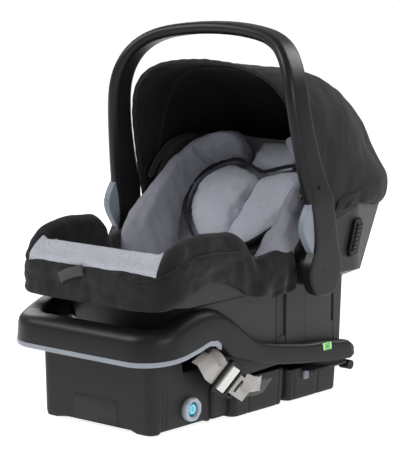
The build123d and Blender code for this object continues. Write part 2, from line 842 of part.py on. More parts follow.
with BuildPart() as pivot_bolts:
    for side, sign in sides:
        with BuildSketch(side_at(sign * 160)):
            with Locations(handle_pivot):
                Circle(5.5)
        extrude(amount=sign * 59)
        with BuildSketch(side_at(sign * 155)):
            with Locations(handle_pivot):
                Circle(11)
        extrude(amount=sign * 9)
finish(pivot_bolts, "pivot_bolts")
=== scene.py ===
import math

import bmesh
import bpy
import numpy as np
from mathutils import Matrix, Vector, noise
from mathutils.bvhtree import BVHTree


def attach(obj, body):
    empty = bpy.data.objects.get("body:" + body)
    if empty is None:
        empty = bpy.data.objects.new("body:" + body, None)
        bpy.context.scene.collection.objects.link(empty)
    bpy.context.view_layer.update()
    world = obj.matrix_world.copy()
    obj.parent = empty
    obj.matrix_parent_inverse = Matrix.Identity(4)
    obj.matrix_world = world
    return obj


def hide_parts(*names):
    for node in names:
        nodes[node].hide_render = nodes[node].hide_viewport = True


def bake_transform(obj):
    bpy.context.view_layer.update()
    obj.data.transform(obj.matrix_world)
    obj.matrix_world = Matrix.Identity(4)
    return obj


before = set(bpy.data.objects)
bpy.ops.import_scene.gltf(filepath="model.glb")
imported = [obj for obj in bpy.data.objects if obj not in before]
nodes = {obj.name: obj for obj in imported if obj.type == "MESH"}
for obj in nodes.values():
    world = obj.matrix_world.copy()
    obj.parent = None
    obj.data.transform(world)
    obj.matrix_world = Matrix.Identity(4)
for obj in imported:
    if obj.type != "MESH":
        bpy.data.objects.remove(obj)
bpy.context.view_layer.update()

mm = 0.001

# ---------------------------------------------------------------- camera, floor and light
# A long lens looks down a little at the foot end from the +X side. The floor is plain and pale, and
# large soft lights stand all round, with the brightest one above the foot end.

camera = bpy.data.objects.new("camera", bpy.data.cameras.new("camera"))
bpy.context.scene.collection.objects.link(camera)
bpy.context.scene.camera = camera
camera.data.sensor_width = 36
camera.data.lens = 159.95
camera.data.clip_end = 50
camera.location = (2.1609, -2.4609, 0.8078)
aim = Vector((0, 0.0572, 0.2798)) - camera.location
camera.rotation_euler = aim.to_track_quat("-Z", "Y").to_euler()


def place_light(name, location, size, power):
    """A square soft light that faces the middle of the seat."""
    lamp = bpy.data.objects.new(name, bpy.data.lights.new(name, "AREA"))
    bpy.context.scene.collection.objects.link(lamp)
    lamp.data.size = size
    lamp.data.energy = power
    lamp.location = location
    lamp.rotation_euler = (Vector((0, 0, 0.3)) - lamp.location).to_track_quat("-Z", "Y").to_euler()


place_light("key_light", (-1.8, -2.0, 2.5), 1.5, 56)
place_light("side_light", (2.8, -0.7, 1.5), 1.4, 30)
place_light("back_light", (0.8, 2.4, 2.3), 1.4, 42)
place_light("head_light", (-2.2, 1.2, 1.4), 1.2, 16)

world = bpy.data.worlds.new("studio")
world.use_nodes = True
sky = world.node_tree.nodes["Background"].inputs
sky["Color"].default_value = (1, 1, 1, 1)
sky["Strength"].default_value = 0.34
bpy.context.scene.world = world
bpy.context.scene.view_settings.view_transform = "Standard"


# ---------------------------------------------------------------- shader arithmetic
# The first materials need a way to write a pattern as a sum, so the wrapper comes here.


class Wire:
    """One output in a material's node tree. Arithmetic on it adds Math nodes."""

    def __init__(self, tree, socket):
        self.tree = tree
        self.socket = socket

    def node(self, kind, output=0, stops=None, sockets=None, **settings):
        """Any other node: its type, its settings, and what its sockets hold or are fed by."""
        added = self.tree.nodes.new("ShaderNode" + kind)
        for name, value in settings.items():
            setattr(added, name, value)
        if stops:
            for place, stop in zip(added.color_ramp.elements, stops):
                place.position, place.color = stop
        for name, value in (sockets or {}).items():
            if isinstance(value, Wire):
                self.tree.links.new(value.socket, added.inputs[name])
            else:
                added.inputs[name].default_value = value
        return Wire(self.tree, added.outputs[output])

    def split(self):
        """The three coordinates of a position."""
        parts = self.node("SeparateXYZ", sockets={0: self}).socket.node.outputs
        return [Wire(self.tree, part) for part in parts]

    def math(self, operation, other=0.0):
        return self.node("Math", operation=operation, sockets={0: self, 1: other})

    def __add__(self, other):
        return self.math("ADD", other)

    def __sub__(self, other):
        return self.math("SUBTRACT", other)

    def __rsub__(self, other):
        return self.node("Math", operation="SUBTRACT", sockets={0: other, 1: self})

    def __mul__(self, other):
        return self.math("MULTIPLY", other)

    __radd__ = __add__
    __rmul__ = __mul__

    def sine(self, pitch):
        """A wave along this value, one cycle to each pitch."""
        return (self * (2 * math.pi / pitch)).math("SINE")

    def cosine(self, pitch):
        return (self * (2 * math.pi / pitch)).math("COSINE")

    def noise(self, size, detail=2.0):
        """Smooth blotches of one size, from 0 to 1, on a position."""
        return self.node("TexNoise", sockets={"Vector": self, "Scale": 1 / size, "Detail": detail})

    def blend(self, low, high):
        """A colour between two, by this value."""
        return self.node("Mix", output=2, data_type="RGBA", sockets={0: self, 6: (*low, 1), 7: (*high, 1)})

    def bump(self, height, under=None):
        """A surface raised by this value, on top of another bump."""
        sockets = {"Height": self, "Distance": height, "Strength": 1.0}
        if under:
            sockets["Normal"] = under
        return self.node("Bump", sockets=sockets)


def new_material(name, **constants):
    """A material, its shader, and the position in metres that its patterns start from."""
    made = bpy.data.materials.new(name)
    made.use_nodes = True
    tree = made.node_tree
    shader = tree.nodes["Principled BSDF"]
    for socket, value in constants.items():
        shader.inputs[socket.replace("_", " ")].default_value = value
    place = Wire(tree, tree.nodes.new("ShaderNodeTexCoord").outputs["Object"])
    return made, shader, place


def feed(shader, **values):
    """Join varying values to the shader."""
    for socket, value in values.items():
        value.tree.links.new(value.socket, shader.inputs[socket.replace("_", " ")])


def shade(colour, factor):
    return tuple(min(1.0, part * factor) for part in colour)


def moulded(name, colour, rough, grain=0.9 * mm, depth=0.05 * mm, coat=0.0):
    """Injection-moulded plastic: a fine spark-eroded grain, a little uneven in gloss and tone."""
    made, shader, place = new_material(name, Coat_Weight=coat, Coat_Roughness=0.25, IOR=1.34)
    tone = place.noise(55 * mm, 3)
    scuff = place.noise(7 * mm, 4)
    pits = place.noise(grain, 3)
    feed(
        shader,
        Base_Color=(tone * 0.6 + scuff * 0.4).blend(shade(colour, 0.82), shade(colour, 1.2)),
        Roughness=rough - 0.09 + scuff * 0.1 + pits * 0.08,
        Normal=pits.bump(depth),
    )
    return made


floor_half = 60
floor_drop = 1 * mm
floor_mesh = bpy.data.meshes.new("floor")
corner_signs = ((-1, -1), (1, -1), (1, 1), (-1, 1))
floor_corners = [(x * floor_half, y * floor_half, -floor_drop) for x, y in corner_signs]
floor_mesh.from_pydata(floor_corners, [], [(0, 1, 2, 3)])
floor = bpy.data.objects.new("floor", floor_mesh)
bpy.context.scene.collection.objects.link(floor)
floor_paint = moulded("floor_paint", (0.5, 0.5, 0.5), 0.8, 4 * mm, 0.01 * mm)
floor_sockets = floor_paint.node_tree.nodes["Principled BSDF"].inputs
floor_sockets["Emission Color"].default_value = (1, 1, 1, 1)
floor_sockets["Emission Strength"].default_value = 0.85
floor.data.materials.append(floor_paint)

# ---------------------------------------------------------------- base rim
# The rim is one thick moulding with a soft rounded section. It runs round the foot end as a hoop, rises to a
# hump each side, and narrows to a low rail that the carrier's skirt drops between.

rim_half_width = 165
rim_front = -238
rim_rear = 264
rim_corner = 62
hoop_width = 45
rail_width = 22
rim_tops = [
    (-243, 168), (-205, 170), (-185, 174), (-158, 184), (-130, 191), (-100, 193), (-76, 186), (-45, 167),
    (-20, 147), (3, 130), (28, 119), (67, 111), (141, 99), (195, 95), (269, 85),
]
rim_bottoms = [
    (-243, 124), (-205, 127), (-165, 131), (-135, 137), (-110, 144), (-92, 142), (-75, 128), (-58, 110),
    (11, 90), (70, 77), (141, 67), (195, 61), (269, 55),
]


def through(points, count):
    """Samples of a smooth curve through points, which may have any number of coordinates."""
    points = np.array(points, float)
    steps = np.linalg.norm(np.diff(points[:, :3], axis=0), axis=1)
    at = np.concatenate([[0], np.cumsum(steps)])
    slopes = np.gradient(points, at, axis=0)
    made = []
    for t in np.linspace(0, at[-1], count):
        i = min(int(np.searchsorted(at, t, side="right")) - 1, len(steps) - 1)
        h = steps[i]
        u = (t - at[i]) / h
        made.append(
            (2 * u**3 - 3 * u**2 + 1) * points[i] + (u**3 - 2 * u**2 + u) * h * slopes[i]
            + (3 * u**2 - 2 * u**3) * points[i + 1] + (u**3 - u**2) * h * slopes[i + 1]
        )
    return np.array(made)


def height_at(outline, y):
    """The height of a side outline, listed from front to rear, at a place along the seat."""
    return float(np.interp(y, [p[0] for p in outline], [p[1] for p in outline]))


def add_mesh(name, points, faces, finish, smooth=True, subdivide=0):
    """A piece from points in millimetres, with outward faces, its material and its shading."""
    mesh = bpy.data.meshes.new(name)
    mesh.from_pydata([tuple(float(c) * mm for c in p) for p in points], [], faces)
    edit = bmesh.new()
    edit.from_mesh(mesh)
    bmesh.ops.recalc_face_normals(edit, faces=edit.faces)
    edit.to_mesh(mesh)
    edit.free()
    mesh.polygons.foreach_set("use_smooth", [smooth] * len(mesh.polygons))
    piece = bpy.data.objects.new(name, mesh)
    bpy.context.scene.collection.objects.link(piece)
    piece.data.materials.append(finish)
    if subdivide:
        rounder = piece.modifiers.new("rounder", "SUBSURF")
        rounder.levels = subdivide
        rounder.render_levels = subdivide
    return piece


def skin(name, rings, finish, around=True, caps=True, joined=False, smooth=True, subdivide=0):
    """A piece drawn over rows of points. A row may close on itself, and the ends be capped or joined."""
    across = len(rings[0])
    points = [p for ring in rings for p in ring]
    faces = []
    for row in range(len(rings) if joined else len(rings) - 1):
        here = row * across
        there = (row + 1) % len(rings) * across
        for i in range(across if around else across - 1):
            j = (i + 1) % across
            faces.append((here + i, here + j, there + j, there + i))
    if around and caps and not joined:
        faces.append(tuple(range(across)))
        faces.append(tuple(reversed(range(len(points) - across, len(points)))))
    return add_mesh(name, points, faces, finish, smooth, subdivide)


def rounded(left, bottom, right, top, radii, steps=5):
    """Points round a box. The corners' radii go from bottom left, by bottom right, to top left."""
    made = []
    corners = ((left, bottom, 180), (right, bottom, 270), (right, top, 0), (left, top, 90))
    for (x, y, turn), radius in zip(corners, radii):
        cx = x + radius * (1 if x == left else -1)
        cy = y + radius * (1 if y == bottom else -1)
        for step in range(steps + 1):
            angle = math.radians(turn + 90 * step / steps)
            made.append((cx + radius * math.cos(angle), cy + radius * math.sin(angle)))
    return made


def rim_line(rear, spacing=9):
    """Places round the rim's outside from one rail to the other: x, y, and the way out as nx, ny."""
    line = []
    for y in np.arange(rear, rim_front + rim_corner, -spacing):
        line.append((rim_half_width, y, 1, 0))
    for turn in range(0, 91, 6):
        way = (math.cos(math.radians(turn)), -math.sin(math.radians(turn)))
        line.append((rim_half_width - rim_corner + rim_corner * way[0],
                     rim_front + rim_corner + rim_corner * way[1], *way))
    for x in np.arange(rim_half_width - rim_corner - spacing, 0, -spacing):
        line.append((x, rim_front, 0, -1))
    return line + [(0, rim_front, 0, -1)] + [(-x, y, -nx, ny) for x, y, nx, ny in reversed(line)]


rim_plastic = moulded("rim_plastic", (0.0075, 0.0074, 0.0082), 0.40)
rings = []
for x, y, nx, ny in rim_line(rim_rear):
    low = height_at(rim_bottoms, y)
    high = height_at(rim_tops, y)
    wide = float(np.interp(y, [-160, -100], [hoop_width, rail_width]))
    end = min(1, (rim_rear - y + 4) / 16)
    trim = (1 - math.sqrt(1 - (1 - end) ** 2)) * 0.5 * (high - low)
    soft = float(np.interp(y, [-90, 10], [17, 7]))
    section = rounded(0, low + trim, wide, high - trim, (3, 3, soft * 0.7, soft))
    rings.append([
        (x - nx * (d + 3 * (z - low) / (high - low)), y - ny * (d + 3 * (z - low) / (high - low)), z)
        for d, z in section
    ])
rim = skin("rim_moulding", rings, rim_plastic)
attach(rim, "base")
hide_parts("base_rim")

# ---------------------------------------------------------------- trim strip
# A pale flexible strip is pressed into the lower edge of the hoop and follows it up under each hump.

trim_plastic = moulded("trim_plastic", (0.28, 0.30, 0.34), 0.5)
rings = []
for x, y, nx, ny in rim_line(-84, 4):
    low = height_at(rim_bottoms, y)
    tall = float(np.interp(y, [-236, -120, -84], [7.5, 7.0, 9.0]))
    section = rounded(-0.6, low - tall, 7, low + 0.6, (2.2, 1.5, 0.5, 0.8), 3)
    rings.append([(x - nx * d, y - ny * d, z) for d, z in section])
trim_strip = skin("trim_strip", rings, trim_plastic)
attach(trim_strip, "base")
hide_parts("rim_trim")

# ---------------------------------------------------------------- lower tub
# Three boxes under the rim are moulded as one open shell with a little draft. The front box has a lower edge
# that arches between its corners, a raised panel, and grooves where its front and side tools met.

tub_wall = 4
tub_clear = 0.8
box = {"half": 121, "front": -195, "rear": -42, "top": 123.5}
block = {"half": 137, "front": -20, "rear": 112, "top": 61.5}
tail = {"half": 137, "front": 122, "rear": 256, "top": 53.5}
foot_hole = (63, -166, -69)
tub_plastic = moulded("tub_plastic", (0.0165, 0.0155, 0.0160), 0.5, 1.3 * mm, 0.09 * mm)


def plan_ring(half, front, rear, corner, grooves=(), count=18):
    """A box's outline from above, with the same number of points whatever its size."""
    made = []
    for x, y, turn in ((1, 1, 0), (-1, 1, 90), (-1, -1, 180), (1, -1, 270)):
        cx = x * (half - corner)
        cy = (rear - corner) if y > 0 else (front + corner)
        for step in range(9):
            angle = math.radians(turn + 90 * step / 8)
            made.append((cx + corner * math.cos(angle), cy + corner * math.sin(angle)))
        after = {0: (-1, 1), 90: (-1, -1), 180: (1, -1), 270: (1, 1)}[turn]
        ex = after[0] * (half - corner) if y == after[1] else made[-1][0]
        ey = made[-1][1] if y == after[1] else ((rear - corner) if after[1] > 0 else (front + corner))
        start = made[-1]
        for step in range(1, count):
            share = step / count
            made.append((start[0] + (ex - start[0]) * share, start[1] + (ey - start[1]) * share))
    eased = []
    for x, y in made:
        dip = sum(1.6 * math.exp(-((y - place) / 2.2) ** 2) for place in grooves)
        eased.append((x - math.copysign(dip, x) if abs(x) > half - 2 else x, y))
    return eased


def tub_box(name, size, corner, top_at, bottom_at, hole=None, grooves=()):
    """An open-topped moulded box: up the inside wall, over the rim, and down the outside."""
    half, front, rear = size["half"], size["front"], size["rear"]
    outer = plan_ring(half, front, rear, corner, grooves, 60)
    inner = plan_ring(half - tub_wall, front + tub_wall, rear - tub_wall, corner - 3, (), 60)
    middle = (front + rear) / 2

    def outer_row(shrink, share):
        made = []
        for x, y in outer:
            height = bottom_at(x, y) + (top_at(x, y) - bottom_at(x, y)) * share
            made.append((x * shrink, middle + (y - middle) * shrink, height))
        return made

    rows = []
    if hole:
        rim_hole = plan_ring(hole[0], hole[1], hole[2], 4, (), 60)
        rows.append([(x, y, tub_wall) for x, y in rim_hole])
    rows.append([(x, y, tub_wall) for x, y in inner])
    rows.append([(x, y, top_at(x, y) - 0.6) for x, y in inner])
    rows.append([(x * 0.992, middle + (y - middle) * 0.992, top_at(x, y)) for x, y in outer])
    for share in (0.985, 0.9, 0.75, 0.6, 0.45, 0.3, 0.15, 0.05):
        rows.append(outer_row(1 - 0.022 * (1 - share), share))
    rows.append(outer_row(0.968, 0))
    if hole:
        rows.append([(x, y, tub_clear) for x, y in rim_hole])
    shell = skin(name, rows, tub_plastic, joined=bool(hole))
    shell.modifiers.new("edges", "EDGE_SPLIT").split_angle = math.radians(50)
    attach(shell, "base")
    return shell


def box_top(x, y):
    return box["top"] - 33 * float(np.interp(y, [-132, -124], [0, 1]))


def box_bottom(x, y):
    """The front edge arches up 8 mm between two feet, and the side edges a little less."""
    across = max(0.0, 1 - (x / 88) ** 4) * 8 if y < box["front"] + 12 else 0
    along = 5 * float(np.interp(y, [-180, -168, -75, -60], [0, 1, 1, 0])) if abs(x) > 112 else 0
    return tub_clear + max(across, along)


front_box = tub_box("tub_front_box", box, 18, box_top, box_bottom, foot_hole, (-172, -163))
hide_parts("base_tub")
tub_box("tub_middle_block", block, 12, lambda x, y: block["top"], lambda x, y: tub_clear, None, (20, 96))
tub_box("tub_tail", tail, 12, lambda x, y: tail["top"], lambda x, y: tub_clear, None, (136, 200))

# the narrower floor and walls that join the three boxes
link = {"half": 126, "front": -60, "rear": 136, "top": 52}
tub_box("tub_link", link, 6, lambda x, y: link["top"], lambda x, y: 8)

panel_half = 50
panel_high = 50
rows = []
for inset, out in ((0, 0.2), (3.5, 1.9), (5, 2.2)):
    ring = rounded(-panel_half + inset, 7, panel_half - inset, panel_high - inset, (0.5, 0.5, 7, 7))
    rows.append([(x, box["front"] + 3.3 - z * 0.02 - out, z) for x, z in ring])
raised_panel = skin("tub_raised_panel", rows, tub_plastic)
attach(raised_panel, "base")
for side in (-1, 1):
    ledge = skin(
        "tub_ledge_" + ("left" if side < 0 else "right"),
        [[(side * x, y, z) for x, z in rounded(134, 49, 163, 53.5, (1, 1, 1, 1), 2)] for y in (156, 244)],
        tub_plastic,
    )
    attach(ledge, "base")


def soften(piece, edge):
    """Close a CAD mesh's seams, and round its edges by a small moulded radius where it has one."""
    piece.modifiers.new("join", "WELD").merge_threshold = 0.01 * mm
    if edge:
        soft = piece.modifiers.new("soft edges", "BEVEL")
        soft.width = edge
        soft.segments = 3
        soft.angle_limit = math.radians(32)


def settle(node, finish, edge=0.8 * mm):
    """A CAD part that is shown as it is, in its own material."""
    piece = nodes[node]
    piece.data.materials.clear()
    piece.data.materials.append(finish)
    soften(piece, edge)


steel, steel_shader, place = new_material("plated_steel", Metallic=1.0)
streaks = place.noise(2 * mm, 3)
feed(
    steel_shader,
    Base_Color=streaks.blend((0.42, 0.42, 0.43), (0.62, 0.62, 0.63)),
    Roughness=0.28 + streaks * 0.2,
)
rubber = moulded("grip_rubber", (0.009, 0.009, 0.009), 0.8, 0.6 * mm, 0.08 * mm)
settle("base_feet", rubber, 0)
settle("rail_bumpers", rim_plastic)
settle("recline_foot", tub_plastic, 1.5 * mm)
for node in ("catch_bars", "base_screws", "recline_spring"):
    settle(node, steel, 0)

# ---------------------------------------------------------------- recline knob, side button and level window
# A grey collar with finger notches surrounds a clear blue push button. Behind it, a small square button and a
# window with a ball in green fluid sit on the rear of the base.

knob_x, knob_y, knob_z = 121, -107, 30
collar_profile = (
    # out from the base, radius, depth of the finger notches
    (-3, 19, 0), (4, 19, 1), (7, 18.6, 1), (8.2, 17, 0.4), (8.4, 14.5, 0), (7.6, 12.5, 0),
    (5, 11.8, 0), (-3, 11.6, 0),
)
collar_grey = moulded("collar_grey", (0.40, 0.44, 0.49), 0.45)
rows = []
for out, radius, notch in collar_profile:
    ring = []
    for step in range(96):
        turn = 2 * math.pi * step / 96
        r = radius - notch * 1.3 * max(0.0, math.cos(8 * turn)) ** 3
        ring.append((knob_x + out, knob_y + r * math.cos(turn), knob_z + r * math.sin(turn)))
    rows.append(ring)
collar = skin("knob_collar", rows, collar_grey, joined=True)
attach(collar, "base")
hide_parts("recline_collar")

blue, blue_shader, place = new_material("button_blue", Coat_Weight=0.6, Coat_Roughness=0.1, IOR=1.5)
_, button_y, button_z = place.split()
face_y = button_y - knob_y * mm
face_z = button_z - knob_z * mm
from_centre = (face_y * face_y + face_z * face_z).math("SQRT")
mark = (from_centre - 5.2 * mm).math("ABSOLUTE").math("LESS_THAN", 0.7 * mm)
feed(
    blue_shader,
    Base_Color=mark.blend((0.05, 0.56, 0.74), (0.62, 0.88, 0.93)),
    Roughness=0.2 + place.noise(2 * mm) * 0.15,
)
button_profile = (
    # out from the base, radius
    (-7, 12), (-5.4, 12), (-5.4, 9.4), (3, 9.4), (4.4, 9.0), (5.2, 7.8), (5.5, 5.9), (5.1, 5.4),
    (5.1, 4.6), (5.6, 4.0),
    (5.8, 2),
)


def around_x(x, y, z, radius, count):
    """A circle of points round a line along X."""
    turns = np.linspace(0, 2 * math.pi, count + 1)[:-1]
    return [(x, y + radius * math.cos(turn), z + radius * math.sin(turn)) for turn in turns]


rows = [around_x(knob_x + out, knob_y, knob_z, radius, 48) for out, radius in button_profile]
blue_button = skin("blue_button", rows, blue)
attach(blue_button, "recline_button")
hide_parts("recline_button")

button_grey = moulded("button_grey", (0.21, 0.235, 0.28), 0.42, 0.7 * mm)
settle("side_button", button_grey, 1.2 * mm)

level_y, level_z = 191, 86.5
green, green_shader, place = new_material("level_green", Coat_Weight=0.8, Coat_Roughness=0.05)
_, window_y, _ = place.split()
ends = (window_y - level_y * mm).math("ABSOLUTE").math("GREATER_THAN", 7.5 * mm)
feed(
    green_shader,
    Base_Color=ends.blend((0.04, 0.50, 0.08), (0.50, 0.78, 0.16)),
    Roughness=0.12 + place.noise(3 * mm) * 0.08,
)
rows = []
for inset, out in ((0, -2), (0, 0.6), (1.2, 1.3), (2.5, 1.5)):
    ring = rounded(179 + inset, 80 + inset, 203 - inset, 93 - inset, (2, 2, 2, 2), 4)
    rows.append([(rim_half_width - 2.2 + out - (z - 66) * 0.05, y, z) for y, z in ring])
window = skin("level_lens", rows, green)
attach(window, "base")
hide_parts("level_window")
rows = []
for rise in np.linspace(0.05, 1.45, 7):
    rows.append(around_x(rim_half_width - 3 + 2.6 * math.sin(rise), level_y, level_z, 3 * math.cos(rise), 24))
ball = skin("level_ball", rows, button_grey)
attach(ball, "base")

# ---------------------------------------------------------------- lower anchor strap
# Pale woven webbing hangs from the belt gap and runs down to a tilt-lock adjuster: a black frame with a
# ribbed metal bar. The loose tail comes out behind it, and a dark strap goes on to the rear of the base.

strap_run = Vector((0.179, 0.797, -0.576)).normalized()
strap_face = Vector((0.899, -0.370, -0.233)).normalized()
strap_across = strap_face.cross(strap_run)
strap_origin = Vector((156, -66, 80))
webbing_width = 42
webbing_thickness = 1.8


def webbing(name, colour, pitch=1.5 * mm):
    """Narrow woven tape: chevron ribs across it, and slightly glossy threads."""
    made, shader, place = new_material(name, Sheen_Weight=0.25, Sheen_Roughness=0.5)
    x, y, z = place.split()
    rib = (x * 0.9 + y * 1.2 - z * 0.8).sine(pitch)
    cross = (x * 0.7 - y * 0.5 + z * 1.3).sine(pitch * 0.8)
    weave = rib * 0.5 + cross * 0.5
    blotch = place.noise(14 * mm, 3)
    feed(
        shader,
        Base_Color=(weave * 0.25 + 0.2 + blotch * 0.6).blend(shade(colour, 0.78), shade(colour, 1.18)),
        Roughness=0.72 + weave * 0.08,
        Normal=weave.bump(0.25 * mm),
    )
    return made


def tape(name, line, width, thickness, finish, across, count=26, curl=0.0):
    """A flat strap through points. across is its width's direction at each end, and curl bows it."""
    line = through(line, count)
    rows = []
    for i, here in enumerate(line):
        ahead = Vector(line[min(i + 1, count - 1)] - line[max(i - 1, 0)]).normalized()
        share = i / (count - 1)
        wide = across[0].lerp(across[1], share)
        wide = (wide - ahead * wide.dot(ahead)).normalized()
        out = ahead.cross(wide)
        section = []
        for face in (1, -1):
            for u in (-1, -0.97, -0.6, -0.2, 0.2, 0.6, 0.97, 1):
                edge = thickness * (0.5 if abs(u) < 0.99 else 0.2)
                bow = curl * (u * u - 0.5) * math.sin(math.pi * share)
                section.append(Vector(here) + wide * (face * u * width / 2) + out * (bow + face * edge))
        rows.append(section)
    return skin(name, rows, finish)


def on_strap(along, out=0.0, sideways=0.0):
    return strap_origin + strap_run * along + strap_face * out + strap_across * sideways


pale_webbing = webbing("pale_webbing", (0.50, 0.47, 0.45))
black_webbing = webbing("black_webbing", (0.022, 0.022, 0.024))
upright = Vector((0.25, 0.95, 0.18))
strap_parts = (
    ("latch_strap", [(128, -92, 116), (140, -88, 111), (150, -86, 101), on_strap(-22, 1), on_strap(-9, -1)],
     webbing_width, pale_webbing, (upright, strap_across), 3, ("latch_webbing",), "grey_webbing"),
    ("latch_strap_fold",
     [(132, -104, 113), (146, -101, 108), (154, -99, 97), on_strap(-32, 6, -5), on_strap(-16, 2, -4)],
     30, pale_webbing, (upright, strap_across), 5, (), "grey_webbing"),
    ("latch_strap_tail", [on_strap(17, -3), on_strap(30, 1), on_strap(46, 0), on_strap(60, -3)],
     webbing_width - 8, pale_webbing, (strap_across, strap_across), 2, ("latch_tail",), "grey_webbing"),
    ("latch_strap_end", [on_strap(34, 2, 12), on_strap(48, 6, 16), on_strap(62, 4, 24)],
     26, pale_webbing, (strap_across, upright), 2, (), "grey_webbing"),
    ("latch_rear_tape", [on_strap(26, -3), on_strap(48, -7, 4), on_strap(72, -14, 12), on_strap(96, -22, 26)],
     34, black_webbing, (strap_across, upright), 2, ("latch_rear_strap",), "black_webbing"),
)
for name, line, width, finish, across, curl, stands_for, material_slot in strap_parts:
    piece = tape(name, line, width, webbing_thickness, finish, across, 30, curl)
    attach(piece, "base")
    if stands_for:
        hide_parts(*stands_for)
hard_black = moulded("hard_black", (0.008, 0.008, 0.009), 0.32, 1.2 * mm, 0.03 * mm, 0.2)
settle("latch_frame", hard_black, 1.2 * mm)

bar_metal, bar_shader, place = new_material("bar_metal", Metallic=0.35)
dull = place.noise(3 * mm, 3)
feed(bar_shader, Base_Color=dull.blend((0.62, 0.62, 0.60), (0.78, 0.78, 0.76)), Roughness=0.3 + dull * 0.15)
bar_outline = (
    # along the strap, and out from it
    (-4.5, 3), (-4, 8.4), (-2.8, 9.4), (-1.8, 9.0), (-0.6, 9.6), (0.6, 9.0), (1.8, 9.9), (3, 9.2),
    (4.2, 10), (5.4, 9.2),
    (6.6, 9.8), (7.8, 9.0), (9, 9.4), (10.6, 8.8), (11.8, 8.0), (12.2, 3), (12.2, 0.5), (-4.5, 0.5),
)
columns = []
for sideways in (-22.5, -21.5, -12, 0, 12, 21.5, 22.5):
    columns.append([on_strap(along, out, sideways) for along, out in bar_outline])
ribbed_bar = skin("latch_ribbed_bar", columns, bar_metal)
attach(ribbed_bar, "latch_bar")
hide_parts("latch_bar")

# ---------------------------------------------------------------- carrier shell
# The bucket and the skirt under it are one grained moulding. Ribs stand each side of the recess where the
# vehicle belt is guided, and the rear guides are hooked ribs with a serrated grip.

shell_plastic = moulded("shell_plastic", (0.031, 0.029, 0.030), 0.46, 1.2 * mm, 0.08 * mm)
rim_y = [-20, 12, 78, 96, 122, 135, 270, 316, 345, 386, 410, 426]
rim_z = [640, 258, 262, 292, 372, 412, 408, 388, 372, 350, 334, 324]


def under_rim(node, name, finish, edge, depth):
    """A CAD part of the bucket, kept under the line where the padded cover folds over the rim."""
    mesh = nodes[node].data.copy()
    mesh.materials.clear()
    mesh.materials.append(finish)
    for vertex in mesh.vertices:
        vertex.co.z = min(vertex.co.z, (float(np.interp(vertex.co.y / mm, rim_y, rim_z)) - depth) * mm)
    piece = bpy.data.objects.new(name, mesh)
    bpy.context.scene.collection.objects.link(piece)
    soften(piece, edge)
    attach(piece, "carrier")
    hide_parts(node)


under_rim("carrier_shell", "carrier_shell_moulding", shell_plastic, 2.2 * mm, 0)
settle("belt_guides", rim_plastic, 1.8 * mm)
settle("release_lever", rim_plastic, 1.5 * mm)
settle("canopy_mounts", shell_plastic, 1 * mm)
settle("pivot_bolts", steel, 0.5 * mm)
skirt_half_width = 138
side_ribs = (
    # along the seat, radius, lowest and highest point
    (88, 3.4, 74, 196), (113, 3.4, 74, 196), (164, 2.0, 76, 194), (-34, 1.6, 76, 196), (240.5, 2.4, 80, 192),
)
for side, word in ((-1, "left"), (1, "right")):
    for index, (y, radius, low, high) in enumerate(side_ribs):
        rows = []
        for z in np.linspace(low, high, 12):
            ring = []
            for step in range(14):
                turn = 2 * math.pi * step / 14
                swell = radius * min(1, (z - low + 1) / 6, (high - z + 1) / 6)
                out = skirt_half_width - 1 + swell * 0.8 * math.cos(turn)
                ring.append((side * out, y + swell * math.sin(turn), z))
            rows.append(ring)
        rib = skin(f"shell_rib_{word}_{index + 1}", rows, shell_plastic)
        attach(rib, "carrier")
    rows = []
    for step in range(29):
        z = 241 + 46 * step / 28
        y = 240 + (z - 241) * 0.36
        bump = 1.4 if step % 4 in (1, 2) else 0
        ring = rounded(0, -5.5, 2.2 + bump, 5.5, (0.4, 0.8, 0.8, 0.4), 2)
        rows.append([(side * (176.4 + d), y + s, z) for d, s in ring])
    grip = skin("belt_guide_grip_" + word, rows, rim_plastic)
    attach(grip, "carrier")

# ---------------------------------------------------------------- carrying handle
# The handle is a deep flat section with full round edges, in two halves screwed together. Its arms widen into
# the round hubs, lean forward, and sweep back to the crown. A step near each button ends the hub plates.

handle_plastic = moulded("handle_plastic", (0.0070, 0.0069, 0.0084), 0.36, 1.1 * mm, 0.06 * mm)
handle_stations = [
    # from the hub to the crown: across, along, up, and how deep the section is
    (211.5, 109, 190.5, 12), (211.5, 109, 193, 40), (211.5, 109, 199, 56), (211.5, 109, 207, 68),
    (211.5, 109, 218, 79), (211.5, 109, 231, 83), (211.5, 109.5, 243, 81.5), (211.5, 111, 254, 74),
    (211.5, 112.5, 262, 62), (211.3, 110.5, 285, 54), (210.2, 108, 310, 54), (209, 105, 336, 56.5),
    (208.6, 103.2, 341, 59.5), (207.9, 100.6, 350, 59), (206, 96, 366, 57), (203.5, 91, 380, 55),
    (198.5, 80, 430, 49), (195, 74.5, 462, 47.5), (191, 71, 494, 47), (188, 71, 512, 46.5),
    (183, 73, 532, 46), (175, 77, 550, 45), (165, 82, 566, 44), (151, 89.5, 580, 43),
    (135, 96, 590, 42), (116, 102.5, 597, 41), (95, 108, 602, 40), (48, 115, 608, 39),
    (0, 117, 609.5, 39),
]
arm_thickness = 21


def handle_ring(x, y, z, deep, along, flat):
    """A section across the handle. flat is 1 on the hub plates, with small edges, and 0 where it is held."""
    outwards = Vector((0, 1, 0)).cross(along).normalized()
    fore = along.cross(outwards)
    soft = min(10.2 - 6.2 * flat, deep / 2 - 0.3)
    thick = arm_thickness if deep > 20 else arm_thickness - 3
    section = rounded(-thick / 2, -deep / 2, thick / 2, deep / 2, (soft,) * 4, 6)
    return [Vector((x, y, z)) + outwards * u + fore * v for u, v in section]


